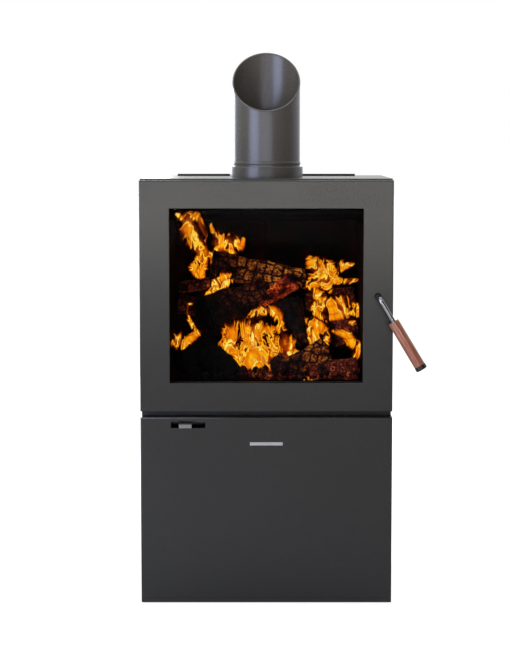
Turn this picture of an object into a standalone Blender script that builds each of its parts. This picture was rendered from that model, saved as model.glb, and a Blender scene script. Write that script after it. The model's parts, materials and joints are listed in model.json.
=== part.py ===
"""A free-standing wood burning stove: a steel firebox in a sheet casing, on a tall pedestal.

Metres, +Z up. The origin is the centre of the pedestal's underside. The front looks along -Y and
the door is hinged on its left edge, at -X. Each object is one separate physical piece.
"""

import math

import bmesh
import bpy
from mathutils import Matrix, Vector

# ---------------------------------------------------------------- driving dimensions
WIDTH = 0.535
DEPTH = 0.440
TOP_Z = 0.907
PEDESTAL_Z = 0.4025
NECK_H = 0.0125
NECK_INSET = 0.0010
DOOR_DEPTH = 0.032
DOOR_GAP = 0.003
WINDOW_HALF_W = 0.2045
WINDOW_LOW, WINDOW_HIGH = 0.4760, 0.8450
FLUE_R = 0.075
FLUE_AXIS_Y = 0.050

GAP = 0.0003
SHEET = 0.002
DOOR_PLATE = 0.003
TOP_PLATE = 0.004
FIREBOX_PLATE = 0.005
BRICK = 0.025
FLANGE = 0.016

HALF_W = WIDTH / 2
SIDE_IN = HALF_W - SHEET
INSIDE = SIDE_IN - GAP
FRONT, BACK = -DEPTH / 2, DEPTH / 2
BLOCK_Z = PEDESTAL_Z + NECK_H
DOOR_TOP = TOP_Z - 0.003
DOOR_BACK = FRONT + DOOR_DEPTH
DOOR_INSIDE = FRONT + DOOR_PLATE + GAP
FACE = DOOR_BACK + DOOR_GAP
CASING_HIGH = TOP_Z - TOP_PLATE - GAP

# firebox: its outer box, then the space inside its plates
BOX_HALF_W = 0.238
BOX_FRONT = FACE + FIREBOX_PLATE + GAP
BOX_BACK = 0.138
BOX_LOW, BOX_HIGH = 0.436, 0.892
MOUTH_MARGIN = 0.0015
MOUTH_LOW, MOUTH_HIGH = WINDOW_LOW - MOUTH_MARGIN, WINDOW_HIGH + MOUTH_MARGIN
ROOM_HALF_W = BOX_HALF_W - FIREBOX_PLATE - GAP
ROOM_BACK = BOX_BACK - FIREBOX_PLATE - GAP
ROOM_LOW = BOX_LOW + FIREBOX_PLATE + GAP
ROOM_HIGH = BOX_HIGH - FIREBOX_PLATE - GAP
BRICK_FRONT = FACE + 0.040
BRICK_TOP = 0.807
BRICK_EDGE = 0.0015
TUBE_R, TUBE_WALL, TUBE_Z = 0.011, 0.0015, 0.8305
TUBE_YS = {"front": -0.075, "rear": 0.045}

# heat shield behind the firebox, whose top edge stands up through the hot-air outlet
SHIELD_HALF_W = 0.203
SHIELD_Y = BOX_BACK + 0.010
SHIELD_RISE = 0.0045
SPACER_X = 0.170
SPACER_ZS = {"lower": 0.520, "upper": 0.820}
SPACER_HOLE_R = 0.0033
OUTLET_DEPTH = 0.035

# cooling air inlets low in the casing's back
INLET_XS = (-0.150, 0.0, 0.150)
INLET_W, INLET_H, INLET_Z = 0.110, 0.012, 0.450

# the seal frame, gasket and rope run round the window on this rectangle
SEAL_MARGIN = 0.0115
SEAL_HALF_W = WINDOW_HALF_W + SEAL_MARGIN
SEAL_LOW, SEAL_HIGH = WINDOW_LOW - SEAL_MARGIN, WINDOW_HIGH + SEAL_MARGIN
SEAL_WALL = 0.002
SEAL_HALF = 0.0075
GLASS = 0.004
GASKET = 0.002
ROPE_SIDES = 12

# hinges and latch
HINGE_X, HINGE_Y = -HALF_W + 0.008, DOOR_BACK - 0.012
HINGE_ZS = {"lower": 0.446, "upper": 0.866}
PIN_R = 0.003
ARM_T = 0.006
ARM_NOSE = 0.0065
HANDLE_X, HANDLE_Z = 0.2353, 0.6606
HANDLE_ANGLE = math.radians(-59)
ROD_R = 0.005
ROD_OUT = 0.043
ROD_BEND_R = 0.014
GRIP_START, GRIP_LENGTH, GRIP_R = 0.0585, 0.107, 0.012
CAP_LENGTH = 0.009
CAM_FRONT = DOOR_BACK - 0.0064
CAM_T = 0.005

# pedestal front panel and the air slide behind it
PANEL_RETURN = 0.020
PANEL_LOW = 0.002
PEDESTAL_FRONT = FRONT + PANEL_RETURN + SHEET
STUD_ZS = {"lower": 0.040, "upper": 0.350}
STUD_HOLE_R = 0.0048
BASE_T = 0.003
NECK_WALL = 0.004
NAMEPLATE_HALF_W = 0.035
NAMEPLATE_Z = (0.3425, 0.3495)
NAMEPLATE_T = 0.0012
SLOT_X = (-0.2024, -0.1296)
SLOT_Z = (0.380, 0.394)
TAB_X = (-0.185, -0.158)
TAB_REACH = 0.012
TAB_DROP = 0.008
SLIDE_LOW, SLIDE_HIGH = 0.386, 0.389
DUCT_X = (-0.208, -0.108)
DUCT_Y = (FACE + 0.010, FACE + 0.090)

# flue
SPIGOT_R = 0.0815
SPIGOT_H = 0.022
PIPE_WALL = 0.002
BEAD_LOW, BEAD_H, BEAD_OUT = 0.026, 0.008, 0.00125
MITRE_LOW, MITRE_HIGH = 0.143, 0.277

MATERIALS = {
    "stove_paint": ((0.035, 0.035, 0.036), 0.45, 0.0),
    "dark_steel": ((0.030, 0.030, 0.031), 0.60, 0.3),
    "flue_enamel": ((0.055, 0.052, 0.050), 0.35, 0.5),
    "stainless": ((0.450, 0.440, 0.420), 0.35, 1.0),
    "polished_rod": ((0.120, 0.120, 0.120), 0.15, 1.0),
    "firebrick": ((0.480, 0.400, 0.300), 0.90, 0.0),
    "baffle_board": ((0.550, 0.500, 0.400), 0.95, 0.0),
    "ceramic_glass": ((0.050, 0.045, 0.040), 0.05, 0.0),
    "fibre_rope": ((0.100, 0.100, 0.100), 0.95, 0.0),
    "walnut": ((0.260, 0.105, 0.055), 0.45, 0.0),
    "black_cap": ((0.030, 0.030, 0.032), 0.40, 0.0),
    "satin_badge": ((0.500, 0.500, 0.500), 0.35, 1.0),
}
SIDES = (("left", -1), ("right", 1))


# ---------------------------------------------------------------- building blocks
def clear_scene():
    """Empties the scene that Blender starts with."""
    for old in list(bpy.data.objects):
        bpy.data.objects.remove(old)


def material(name):
    """The named Principled material, made on first use."""
    found = bpy.data.materials.get(name)
    if found:
        return found
    colour, roughness, metallic = MATERIALS[name]
    made = bpy.data.materials.new(name)
    made.use_nodes = True
    shader = made.node_tree.nodes["Principled BSDF"]
    shader.inputs["Base Color"].default_value = (*colour, 1.0)
    shader.inputs["Roughness"].default_value = roughness
    shader.inputs["Metallic"].default_value = metallic
    return made


def add_object(name, bm, finish, origin=(0, 0, 0), smooth=False):
    """Stores a bmesh as an object whose origin is a world point, such as one on a joint's axis."""
    bm.transform(Matrix.Translation(-Vector(origin)))
    mesh = bpy.data.meshes.new(name)
    bm.to_mesh(mesh)
    bm.free()
    if smooth:
        mesh.shade_smooth()
        mesh.set_sharp_from_angle(angle=math.radians(35))
    obj = bpy.data.objects.new(name, mesh)
    obj.location = origin
    mesh.materials.append(material(finish))
    bpy.context.scene.collection.objects.link(obj)
    return obj


def block(name, finish, low, high, origin=(0, 0, 0), edge=0.0):
    """A box between two corners, with its edges broken by a small chamfer where edge is given."""
    low, high = Vector(low), Vector(high)
    bm = bmesh.new()
    size = Matrix.Diagonal((*(high - low), 1.0))
    bmesh.ops.create_cube(bm, size=1.0, matrix=Matrix.Translation((low + high) / 2) @ size)
    if edge:
        bmesh.ops.bevel(bm, geom=bm.edges[:], offset=edge, segments=1, affect="EDGES", profile=0.5)
    return add_object(name, bm, finish, origin)


def extrusion(name, finish, outline, axis, start, end, origin=(0, 0, 0)):
    """A flat outline pushed along one axis. Its pairs are the other two axes, in order."""
    place = {
        "X": lambda a, b: (start, a, b),
        "Y": lambda a, b: (a, start, b),
        "Z": lambda a, b: (a, b, start),
    }[axis]
    along = {"X": Vector((1, 0, 0)), "Y": Vector((0, 1, 0)), "Z": Vector((0, 0, 1))}[axis]
    bm = bmesh.new()
    face = bm.faces.new([bm.verts.new(place(a, b)) for a, b in outline])
    pushed = bmesh.ops.extrude_face_region(bm, geom=[face])["geom"]
    moved = [part for part in pushed if isinstance(part, bmesh.types.BMVert)]
    bmesh.ops.translate(bm, verts=moved, vec=along * (end - start))
    bmesh.ops.recalc_face_normals(bm, faces=bm.faces)
    return add_object(name, bm, finish, origin)


def turned(name, finish, profile, place, steps=32, origin=(0, 0, 0)):
    """A closed profile of (radius, height) pairs turned about Z, then put in place by a matrix."""
    bm = bmesh.new()
    verts = [bm.verts.new((r, 0.0, h)) for r, h in profile]
    edges = [bm.edges.new((a, b)) for a, b in zip(verts, verts[1:] + verts[:1])]
    bmesh.ops.spin(
        bm, geom=verts + edges, cent=(0, 0, 0), axis=(0, 0, 1),
        angle=math.tau, steps=steps, use_merge=True,
    )
    bmesh.ops.remove_doubles(bm, verts=bm.verts[:], dist=1e-6)
    bmesh.ops.delete(bm, geom=[e for e in bm.edges if not e.link_faces], context="EDGES")
    bmesh.ops.recalc_face_normals(bm, faces=bm.faces)
    bm.transform(place)
    return add_object(name, bm, finish, origin, smooth=True)


def stand_at(x, y, z):
    """Places a turned piece upright."""
    return Matrix.Translation((x, y, z))


def point_back(x, y, z):
    """Places a turned piece with its height running back along +Y."""
    return Matrix.Translation((x, y, z)) @ Matrix.Rotation(math.radians(-90), 4, "X")


def rod(name, finish, radius, start, end, sides=24):
    """A plain solid cylinder between two points."""
    start, end = Vector(start), Vector(end)
    lie = (end - start).to_track_quat("Z", "Y").to_matrix().to_4x4()
    bm = bmesh.new()
    bmesh.ops.create_cone(
        bm, cap_ends=True, cap_tris=False, segments=sides, radius1=radius, radius2=radius,
        depth=(end - start).length, matrix=Matrix.Translation((start + end) / 2) @ lie,
    )
    return add_object(name, bm, finish, smooth=True)


def seal_ring(name, finish, section, origin):
    """A section of (outward offset, y) pairs swept round the seal rectangle, mitred at its corners."""
    bm = bmesh.new()
    loops = []
    for side, z, up in ((-1, SEAL_LOW, -1), (1, SEAL_LOW, -1), (1, SEAL_HIGH, 1), (-1, SEAL_HIGH, 1)):
        ring = [bm.verts.new((side * (SEAL_HALF_W + out), y, z + up * out)) for out, y in section]
        loops.append([bm.edges.new((a, b)) for a, b in zip(ring, ring[1:] + ring[:1])])
    for one, other in zip(loops, loops[1:] + loops[:1]):
        bmesh.ops.bridge_loops(bm, edges=one + other)
    bmesh.ops.recalc_face_normals(bm, faces=bm.faces)
    return add_object(name, bm, finish, origin)


def combine(obj, tool, operation):
    """Cuts a tool from an object, or joins it on. The tool itself is no piece."""
    tool.hide_render = True
    tool.display_type = "WIRE"
    step = obj.modifiers.new(operation.lower(), "BOOLEAN")
    step.operation = operation
    step.solver = "EXACT"
    step.object = tool


def cut_box(obj, low, high):
    """Cuts a box between two corners out of an object."""
    combine(obj, block(f"{obj.name}_tool_{len(obj.modifiers)}", "dark_steel", low, high), "DIFFERENCE")


def join_box(obj, low, high):
    """Joins a box between two corners to an object."""
    combine(obj, block(f"{obj.name}_tool_{len(obj.modifiers)}", "dark_steel", low, high), "UNION")


def cut_round(obj, radius, start, end, sides=32):
    """Drills a round hole through an object between two points."""
    name = f"{obj.name}_tool_{len(obj.modifiers)}"
    combine(obj, rod(name, "dark_steel", radius, start, end, sides), "DIFFERENCE")


# ---------------------------------------------------------------- pedestal
def stud_x(side):
    """The x of the studs that push into the middle of one front flange."""
    return side * (SIDE_IN - FLANGE / 2)


def build_pedestal():
    """Two folded sides, back, base and top plates, and the recessed neck under the firebox."""
    high = PEDESTAL_Z - SHEET - GAP
    back = BACK - SHEET - GAP
    block("base_plate", "dark_steel", (-INSIDE, PEDESTAL_FRONT, 0), (INSIDE, back - SHEET - GAP, BASE_T))
    for word, side in SIDES:
        outer, inner, lip = side * HALF_W, side * SIDE_IN, side * (SIDE_IN - FLANGE)
        outline = [
            (outer, PEDESTAL_FRONT), (outer, back), (lip, back), (lip, back - SHEET), (inner, back - SHEET),
            (inner, PEDESTAL_FRONT + SHEET), (lip, PEDESTAL_FRONT + SHEET), (lip, PEDESTAL_FRONT),
        ]
        panel = extrusion(f"pedestal_{word}_side", "stove_paint", outline, "Z", 0.0, high)
        for z in STUD_ZS.values():
            hole = (stud_x(side), PEDESTAL_FRONT - SHEET, z)
            cut_round(panel, STUD_HOLE_R, hole, (stud_x(side), PEDESTAL_FRONT + 2 * SHEET, z), 16)
        relief = INSIDE + GAP / 2
        clear_back = back - SHEET - GAP / 2
        cut_box(panel, (-relief, PEDESTAL_FRONT - 0.01, -0.01), (relief, clear_back, BASE_T + GAP))
    block("pedestal_back", "stove_paint", (-HALF_W, BACK - SHEET, 0), (HALF_W, BACK, high))
    top = block(
        "pedestal_top_plate", "stove_paint",
        (-HALF_W, PEDESTAL_FRONT, PEDESTAL_Z - SHEET), (HALF_W, BACK, PEDESTAL_Z),
    )
    cut_duct_hole(top, PEDESTAL_Z)
    reach, wall = HALF_W - NECK_INSET, NECK_WALL
    front, rear = FACE + 0.002, BACK - NECK_INSET
    neck = block("neck_frame", "dark_steel", (-reach, front, PEDESTAL_Z + GAP), (reach, rear, BLOCK_Z - GAP))
    cut_box(
        neck, (wall - reach, front + wall, PEDESTAL_Z - 0.01), (reach - wall, rear - wall, BLOCK_Z + 0.01),
    )


def cut_duct_hole(plate, z):
    """Cuts the air duct's hole, with room round it, through a level plate at a height."""
    room = 0.003
    cut_box(
        plate, (DUCT_X[0] - room, DUCT_Y[0] - room, z - 0.01), (DUCT_X[1] + room, DUCT_Y[1] + room, z + 0.01),
    )


def build_front_panel():
    """The pull-off cover of the pedestal, with the air lever's slot and four push-in studs."""
    panel = block(
        "pedestal_front_panel", "stove_paint",
        (-HALF_W, FRONT, PANEL_LOW), (HALF_W, FRONT + PANEL_RETURN, PEDESTAL_Z),
    )
    cut_box(
        panel, (-SIDE_IN, FRONT + SHEET, PANEL_LOW + SHEET),
        (SIDE_IN, FRONT + PANEL_RETURN + 0.01, PEDESTAL_Z - SHEET),
    )
    cut_box(panel, (SLOT_X[0], FRONT - 0.01, SLOT_Z[0]), (SLOT_X[1], FRONT + 0.01, SLOT_Z[1]))
    root_y = FRONT + SHEET + GAP
    length = PEDESTAL_FRONT + 0.012 - root_y
    profile = [
        (0.0, 0.0), (0.0060, 0.0), (0.0060, 0.0020), (0.0030, 0.0020), (0.0030, length - 0.009),
        (0.0042, length - 0.006), (0.0042, length - 0.003), (0.0025, length), (0.0, length),
    ]
    for level, z in STUD_ZS.items():
        for word, side in SIDES:
            turned(f"panel_stud_{level}_{word}", "stainless", profile, point_back(stud_x(side), root_y, z), 16)
    block(
        "nameplate", "satin_badge", (-NAMEPLATE_HALF_W, FRONT - NAMEPLATE_T, NAMEPLATE_Z[0]),
        (NAMEPLATE_HALF_W, FRONT - GAP, NAMEPLATE_Z[1]),
    )


def build_air_control():
    """The air duct up to the firebox floor, the slide that closes it, and the slide's two rails."""
    low = SLIDE_HIGH + 0.0004
    x0, x1 = DUCT_X
    y0, y1 = DUCT_Y
    duct = block("air_duct", "dark_steel", (x0, y0, low), (x1, y1, BOX_LOW - GAP))
    cut_box(duct, (x0 + SHEET, y0 + SHEET, low + SHEET), (x1 - SHEET, y1 - SHEET, BOX_LOW + 0.01))
    port = (-0.183, -0.141)
    cut_box(duct, (port[0], y0 + 0.012, low - 0.01), (port[1], y1 - 0.012, low + 0.01))
    left, right, post = -0.252, -0.055, 0.005
    bottom, high = SLIDE_LOW - 0.0045, PEDESTAL_Z - SHEET - GAP
    outline = [
        (left, bottom), (right, bottom), (right, high), (right - post, high),
        (right - post, SLIDE_LOW - GAP), (left + post, SLIDE_LOW - GAP), (left + post, high), (left, high),
    ]
    for word, y in (("front", y0 - 0.003), ("rear", y1 - 0.010)):
        extrusion(f"slide_rail_{word}", "dark_steel", outline, "Y", y, y + 0.010)
    slide = block(
        "air_slide", "stainless", (x0 - 0.019, y0 - 0.006, SLIDE_LOW), (x1 + 0.017, y1 + 0.005, SLIDE_HIGH),
    )
    tip = FRONT - TAB_REACH
    join_box(slide, (TAB_X[0], tip, SLIDE_LOW), (TAB_X[1], y0, SLIDE_HIGH))
    join_box(slide, (TAB_X[0], tip, SLIDE_HIGH - TAB_DROP), (TAB_X[1], tip + 0.003, SLIDE_HIGH))
    window = 0.016
    cut_box(
        slide, (port[0] + window, y0 + 0.012, SLIDE_LOW - 0.01),
        (port[1] + window, y1 - 0.012, SLIDE_HIGH + 0.01),
    )


# ---------------------------------------------------------------- casing and firebox
def build_casing():
    """The outer sheet casing round the firebox, with rear air inlets and the hot-air outlet."""
    back = BACK - SHEET - GAP
    for word, side in SIDES:
        outer, inner, lip = side * HALF_W, side * SIDE_IN, side * (SIDE_IN - FLANGE)
        outline = [
            (outer, FACE), (outer, back), (lip, back),
            (lip, back - SHEET), (inner, back - SHEET), (inner, FACE),
        ]
        extrusion(f"casing_{word}_side", "stove_paint", outline, "Z", BLOCK_Z, CASING_HIGH)
    floor = block(
        "casing_floor", "dark_steel", (-INSIDE, FACE, BLOCK_Z), (INSIDE, back - SHEET - GAP, BLOCK_Z + SHEET),
    )
    cut_duct_hole(floor, BLOCK_Z)
    rear = block("casing_back", "stove_paint", (-HALF_W, BACK - SHEET, BLOCK_Z), (HALF_W, BACK, CASING_HIGH))
    for x in INLET_XS:
        cut_box(
            rear, (x - INLET_W / 2, BACK - 0.01, INLET_Z), (x + INLET_W / 2, BACK + 0.01, INLET_Z + INLET_H),
        )
    top = block("casing_top", "stove_paint", (-HALF_W, FACE, TOP_Z - TOP_PLATE), (HALF_W, BACK, TOP_Z))
    middle = (0, FLUE_AXIS_Y)
    cut_round(top, SPIGOT_R + 0.0008, (*middle, TOP_Z - 0.02), (*middle, TOP_Z + 0.02), 48)
    reach, front = SHIELD_HALF_W + MOUTH_MARGIN, SHIELD_Y - 0.001
    cut_box(top, (-reach, front, TOP_Z - 0.02), (reach, front + OUTLET_DEPTH, TOP_Z + 0.02))


def build_firebox():
    """The front plate with the fire's mouth, and the welded shell behind it on two long feet."""
    plate = block(
        "firebox_front_plate", "dark_steel",
        (-INSIDE, FACE, BLOCK_Z + SHEET + GAP), (INSIDE, FACE + FIREBOX_PLATE, CASING_HIGH),
    )
    mouth = WINDOW_HALF_W + MOUTH_MARGIN
    cut_box(plate, (-mouth, FACE - 0.01, MOUTH_LOW), (mouth, FACE + 0.01, MOUTH_HIGH))
    slack = 0.0005
    for z in HINGE_ZS.values():
        cut_box(
            plate, (HINGE_X - 0.0045, FACE - 0.01, z - slack),
            (HINGE_X + ARM_NOSE + slack, FACE + 0.01, z + ARM_T + slack),
        )
    shell = block(
        "firebox_shell", "dark_steel",
        (-BOX_HALF_W, BOX_FRONT, BOX_LOW), (BOX_HALF_W, BOX_BACK, BOX_HIGH),
    )
    t = FIREBOX_PLATE
    cut_box(
        shell, (t - BOX_HALF_W, BOX_FRONT - 0.01, BOX_LOW + t), (BOX_HALF_W - t, BOX_BACK - t, BOX_HIGH - t),
    )
    middle = (0, FLUE_AXIS_Y)
    cut_round(shell, FLUE_R - t, (*middle, BOX_HIGH - 0.01), (*middle, BOX_HIGH + 0.01))
    cut_box(
        shell, (DUCT_X[0] + 0.008, DUCT_Y[0] + SHEET, BOX_LOW - 0.01),
        (DUCT_X[1] - 0.008, DUCT_Y[0] + 0.022, BOX_LOW + 0.01),
    )
    foot_x, foot = BOX_HALF_W - 0.013, 0.010
    for _, side in SIDES:
        join_box(
            shell, (side * foot_x - foot, BRICK_FRONT, BLOCK_Z + SHEET + GAP),
            (side * foot_x + foot, BOX_BACK - 0.020, BOX_LOW + t / 2),
        )


def build_bricks():
    """The firebrick lining: two floor slabs, four side slabs and two back slabs."""
    floor_high = ROOM_LOW + BRICK
    wall_low = floor_high + GAP
    joint = 0.0009
    split_y = (BRICK_FRONT + ROOM_BACK) / 2
    runs = (("front", BRICK_FRONT, split_y - joint), ("rear", split_y + joint, ROOM_BACK))
    for word, side in SIDES:
        middle, outer = side * joint, side * ROOM_HALF_W
        inner = side * (ROOM_HALF_W - BRICK)
        block(
            f"floor_brick_{word}", "firebrick", (min(middle, outer), BRICK_FRONT, ROOM_LOW),
            (max(middle, outer), ROOM_BACK, floor_high), edge=BRICK_EDGE,
        )
        for run, y0, y1 in runs:
            block(
                f"side_brick_{word}_{run}", "firebrick", (min(inner, outer), y0, wall_low),
                (max(inner, outer), y1, BRICK_TOP), edge=BRICK_EDGE,
            )
        edge_x = side * (ROOM_HALF_W - BRICK - GAP)
        block(
            f"back_brick_{word}", "firebrick", (min(middle, edge_x), ROOM_BACK - BRICK, wall_low),
            (max(middle, edge_x), ROOM_BACK, BRICK_TOP), edge=BRICK_EDGE,
        )


def build_air_parts():
    """Secondary air tubes, the baffle on them, the air wash plate and the ember guard."""
    length = 2 * ROOM_HALF_W
    profile = [(TUBE_R - TUBE_WALL, 0), (TUBE_R, 0), (TUBE_R, length), (TUBE_R - TUBE_WALL, length)]
    for word, y in TUBE_YS.items():
        lie = Matrix.Translation((-ROOM_HALF_W, y, TUBE_Z)) @ Matrix.Rotation(math.radians(90), 4, "Y")
        turned(f"air_tube_{word}", "stainless", profile, lie, 16)
    baffle_low, baffle_t = TUBE_Z + TUBE_R + GAP, 0.018
    block(
        "baffle_board", "baffle_board", (-ROOM_HALF_W, TUBE_YS["front"] - 0.035, baffle_low),
        (ROOM_HALF_W, ROOM_BACK, baffle_low + baffle_t), edge=BRICK_EDGE,
    )
    front = BOX_FRONT + GAP
    deep, lip = front + 0.030, MOUTH_HIGH + 0.004
    outline = [
        (front, lip), (deep, lip), (deep, ROOM_HIGH), (deep - SHEET, ROOM_HIGH),
        (deep - SHEET, lip + SHEET), (front, lip + SHEET),
    ]
    extrusion("airwash_plate", "dark_steel", outline, "X", -ROOM_HALF_W, ROOM_HALF_W)
    rear, high, t = BRICK_FRONT - 0.0015, MOUTH_LOW - 0.0015, 0.003
    outline = [
        (front, ROOM_LOW), (front, high), (rear, high), (rear, ROOM_LOW), (rear - t, ROOM_LOW),
        (rear - t, high - t), (front + t, high - t), (front + t, ROOM_LOW),
    ]
    extrusion("ember_guard", "dark_steel", outline, "X", -WINDOW_HALF_W, WINDOW_HALF_W)


def build_flue():
    """The collar on the firebox top, and the flue pipe standing in it with its mitred end."""
    bore = FLUE_R + 0.0004
    seat = bore - 0.003
    bottom, top = BOX_HIGH + GAP, TOP_Z + SPIGOT_H
    profile = [
        (seat, bottom), (SPIGOT_R, bottom), (SPIGOT_R, top - 0.001), (SPIGOT_R - 0.001, top),
        (bore, top), (bore, TOP_Z), (seat, TOP_Z),
    ]
    turned("flue_spigot", "flue_enamel", profile, stand_at(0, FLUE_AXIS_Y, 0), 48)
    foot, bead, end = TOP_Z + 0.001, TOP_Z + BEAD_LOW, TOP_Z + MITRE_HIGH + 0.030
    bead_r = FLUE_R + BEAD_OUT
    profile = [
        (FLUE_R - PIPE_WALL, foot), (FLUE_R, foot), (FLUE_R, bead), (bead_r, bead + BEAD_OUT),
        (bead_r, bead + BEAD_H - BEAD_OUT), (FLUE_R, bead + BEAD_H), (FLUE_R, end), (FLUE_R - PIPE_WALL, end),
    ]
    pipe = turned("flue_pipe", "flue_enamel", profile, stand_at(0, FLUE_AXIS_Y, 0), 48)
    slope = math.atan2(MITRE_HIGH - MITRE_LOW, 2 * FLUE_R)
    bm = bmesh.new()
    bm.from_mesh(pipe.data)
    bmesh.ops.bisect_plane(
        bm, geom=bm.verts[:] + bm.edges[:] + bm.faces[:], dist=1e-7,
        plane_co=(0, FLUE_AXIS_Y, TOP_Z + (MITRE_LOW + MITRE_HIGH) / 2),
        plane_no=(0, -math.sin(slope), math.cos(slope)), clear_outer=True,
    )
    bmesh.ops.bridge_loops(bm, edges=[e for e in bm.edges if e.is_boundary])
    bmesh.ops.recalc_face_normals(bm, faces=bm.faces)
    bm.to_mesh(pipe.data)
    bm.free()


def build_heat_shield():
    """The shield behind the firebox, spaced off it by four shouldered screws."""
    shield = block(
        "rear_heat_shield", "dark_steel", (-SHIELD_HALF_W, SHIELD_Y, BOX_LOW),
        (SHIELD_HALF_W, SHIELD_Y + SHEET, TOP_Z + SHIELD_RISE),
    )
    space = SHIELD_Y - BOX_BACK
    head = space + SHEET + GAP
    profile = [
        (0.0, GAP), (0.0070, GAP), (0.0070, space - GAP), (0.0029, space - GAP), (0.0029, head),
        (0.0060, head), (0.0052, head + 0.0028), (0.0, head + 0.0032),
    ]
    for level, z in SPACER_ZS.items():
        for word, side in SIDES:
            x = side * SPACER_X
            cut_round(shield, SPACER_HOLE_R, (x, SHIELD_Y - 0.01, z), (x, SHIELD_Y + 0.01, z), 16)
            turned(f"shield_spacer_{level}_{word}", "stainless", profile, point_back(x, BOX_BACK, z), 16)


# ---------------------------------------------------------------- door, hinges and latch
def build_door():
    """The full-width door tray, its glass, the frame that clamps it, both seals and the bush."""
    hinge = (HINGE_X, HINGE_Y, 0)
    t = DOOR_PLATE
    door = block("door_front", "stove_paint", (-HALF_W, FRONT, BLOCK_Z), (HALF_W, DOOR_BACK, DOOR_TOP), hinge)
    cut_box(door, (t - HALF_W, FRONT + t, BLOCK_Z + t), (HALF_W - t, DOOR_BACK + 0.01, DOOR_TOP - t))
    room = 0.003
    for z in HINGE_ZS.values():
        cut_box(
            door, (-HALF_W - 0.01, HINGE_Y - 0.0095, z - room),
            (t + 0.001 - HALF_W, DOOR_BACK + 0.02, z + ARM_T + room),
        )
    cut_box(door, (-WINDOW_HALF_W, FRONT - 0.01, WINDOW_LOW), (WINDOW_HALF_W, FRONT + 0.01, WINDOW_HIGH))
    spindle = (HANDLE_X, FRONT - 0.01, HANDLE_Z)
    cut_round(door, ROD_R + 0.0018, spindle, (HANDLE_X, FRONT + 0.01, HANDLE_Z), 24)
    gasket_back = DOOR_INSIDE + GASKET
    gasket = [
        (-SEAL_HALF - SEAL_WALL, DOOR_INSIDE), (0.0, DOOR_INSIDE), (0.0, gasket_back),
        (-SEAL_HALF - SEAL_WALL, gasket_back),
    ]
    seal_ring("glass_gasket", "fibre_rope", gasket, hinge)
    glass_front, grown = gasket_back + GAP, SEAL_WALL
    glass_back = glass_front + GLASS
    block(
        "door_glass", "ceramic_glass", (-SEAL_HALF_W - grown, glass_front, SEAL_LOW - grown),
        (SEAL_HALF_W + grown, glass_back, SEAL_HIGH + grown), hinge,
    )
    lip = SEAL_HALF - SEAL_WALL
    web_front, web_back = DOOR_BACK - 0.012, DOOR_BACK - 0.010
    section = [
        (-SEAL_HALF, glass_back + GAP), (-lip, glass_back + GAP), (-lip, web_front), (lip, web_front),
        (lip, DOOR_INSIDE), (SEAL_HALF, DOOR_INSIDE), (SEAL_HALF, DOOR_BACK), (lip, DOOR_BACK),
        (lip, web_back), (-lip, web_back), (-lip, DOOR_BACK), (-SEAL_HALF, DOOR_BACK),
    ]
    seal_ring("door_seal_frame", "dark_steel", section, hinge)
    half_w, half_d = lip - 2 * GAP, 0.006
    rope_y = web_back + GAP + half_d
    turns = [math.tau * k / ROPE_SIDES for k in range(ROPE_SIDES)]
    rope = [(half_w * math.cos(a), rope_y + half_d * math.sin(a)) for a in turns]
    seal_ring("door_rope_seal", "fibre_rope", rope, hinge)
    length = 0.016
    bush = [(ROD_R + GAP, 0), (0.009, 0), (0.009, length), (ROD_R + GAP, length)]
    turned("spindle_bush", "stainless", bush, point_back(HANDLE_X, DOOR_INSIDE, HANDLE_Z), 24, hinge)


def build_hinges():
    """Arms fixed to the firebox front, with pins that hang the door's lugs on them."""
    axis = (HINGE_X, HINGE_Y, 0)
    back_of_arm = HINGE_X - 0.004
    right = HINGE_X + ARM_NOSE
    rear = FACE + 0.025
    turns = [math.radians(18 * k - 180) for k in range(11)]
    nose = [(HINGE_X + ARM_NOSE * math.cos(a), HINGE_Y + ARM_NOSE * math.sin(a)) for a in turns]
    outline = [
        *nose, (right, rear), (back_of_arm, rear), (back_of_arm, FACE - DOOR_GAP),
        (HINGE_X - ARM_NOSE, HINGE_Y + 0.004),
    ]
    for word, z in HINGE_ZS.items():
        arm = extrusion(f"hinge_arm_{word}", "dark_steel", outline, "Z", z, z + ARM_T)
        cut_round(arm, PIN_R + GAP, (HINGE_X, HINGE_Y, z - 0.01), (HINGE_X, HINGE_Y, z + 0.02), 20)
        lug_low = z + ARM_T + 0.0008
        lug = block(
            f"door_hinge_lug_{word}", "dark_steel", (DOOR_PLATE + GAP - HALF_W, DOOR_INSIDE, lug_low),
            (HINGE_X + 0.009, HINGE_Y + 0.006, lug_low + ARM_T), axis,
        )
        cut_round(lug, PIN_R + GAP, (HINGE_X, HINGE_Y, lug_low - 0.01), (HINGE_X, HINGE_Y, lug_low + 0.02), 20)
        head, top = z - 0.0025, lug_low + ARM_T + 0.002
        profile = [
            (0.0, head), (0.0045, head), (0.0045, z - GAP), (PIN_R, z - GAP),
            (PIN_R, top - 0.001), (PIN_R - 0.001, top), (0.0, top),
        ]
        turned(f"hinge_pin_{word}", "stainless", profile, stand_at(HINGE_X, HINGE_Y, 0), 20, axis)


def handle_point(along, out=ROD_OUT):
    """A point on the handle's sloping axis: along it from the spindle, and out from the door."""
    return Vector((
        HANDLE_X + along * math.cos(HANDLE_ANGLE), FRONT - out, HANDLE_Z + along * math.sin(HANDLE_ANGLE),
    ))


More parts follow.
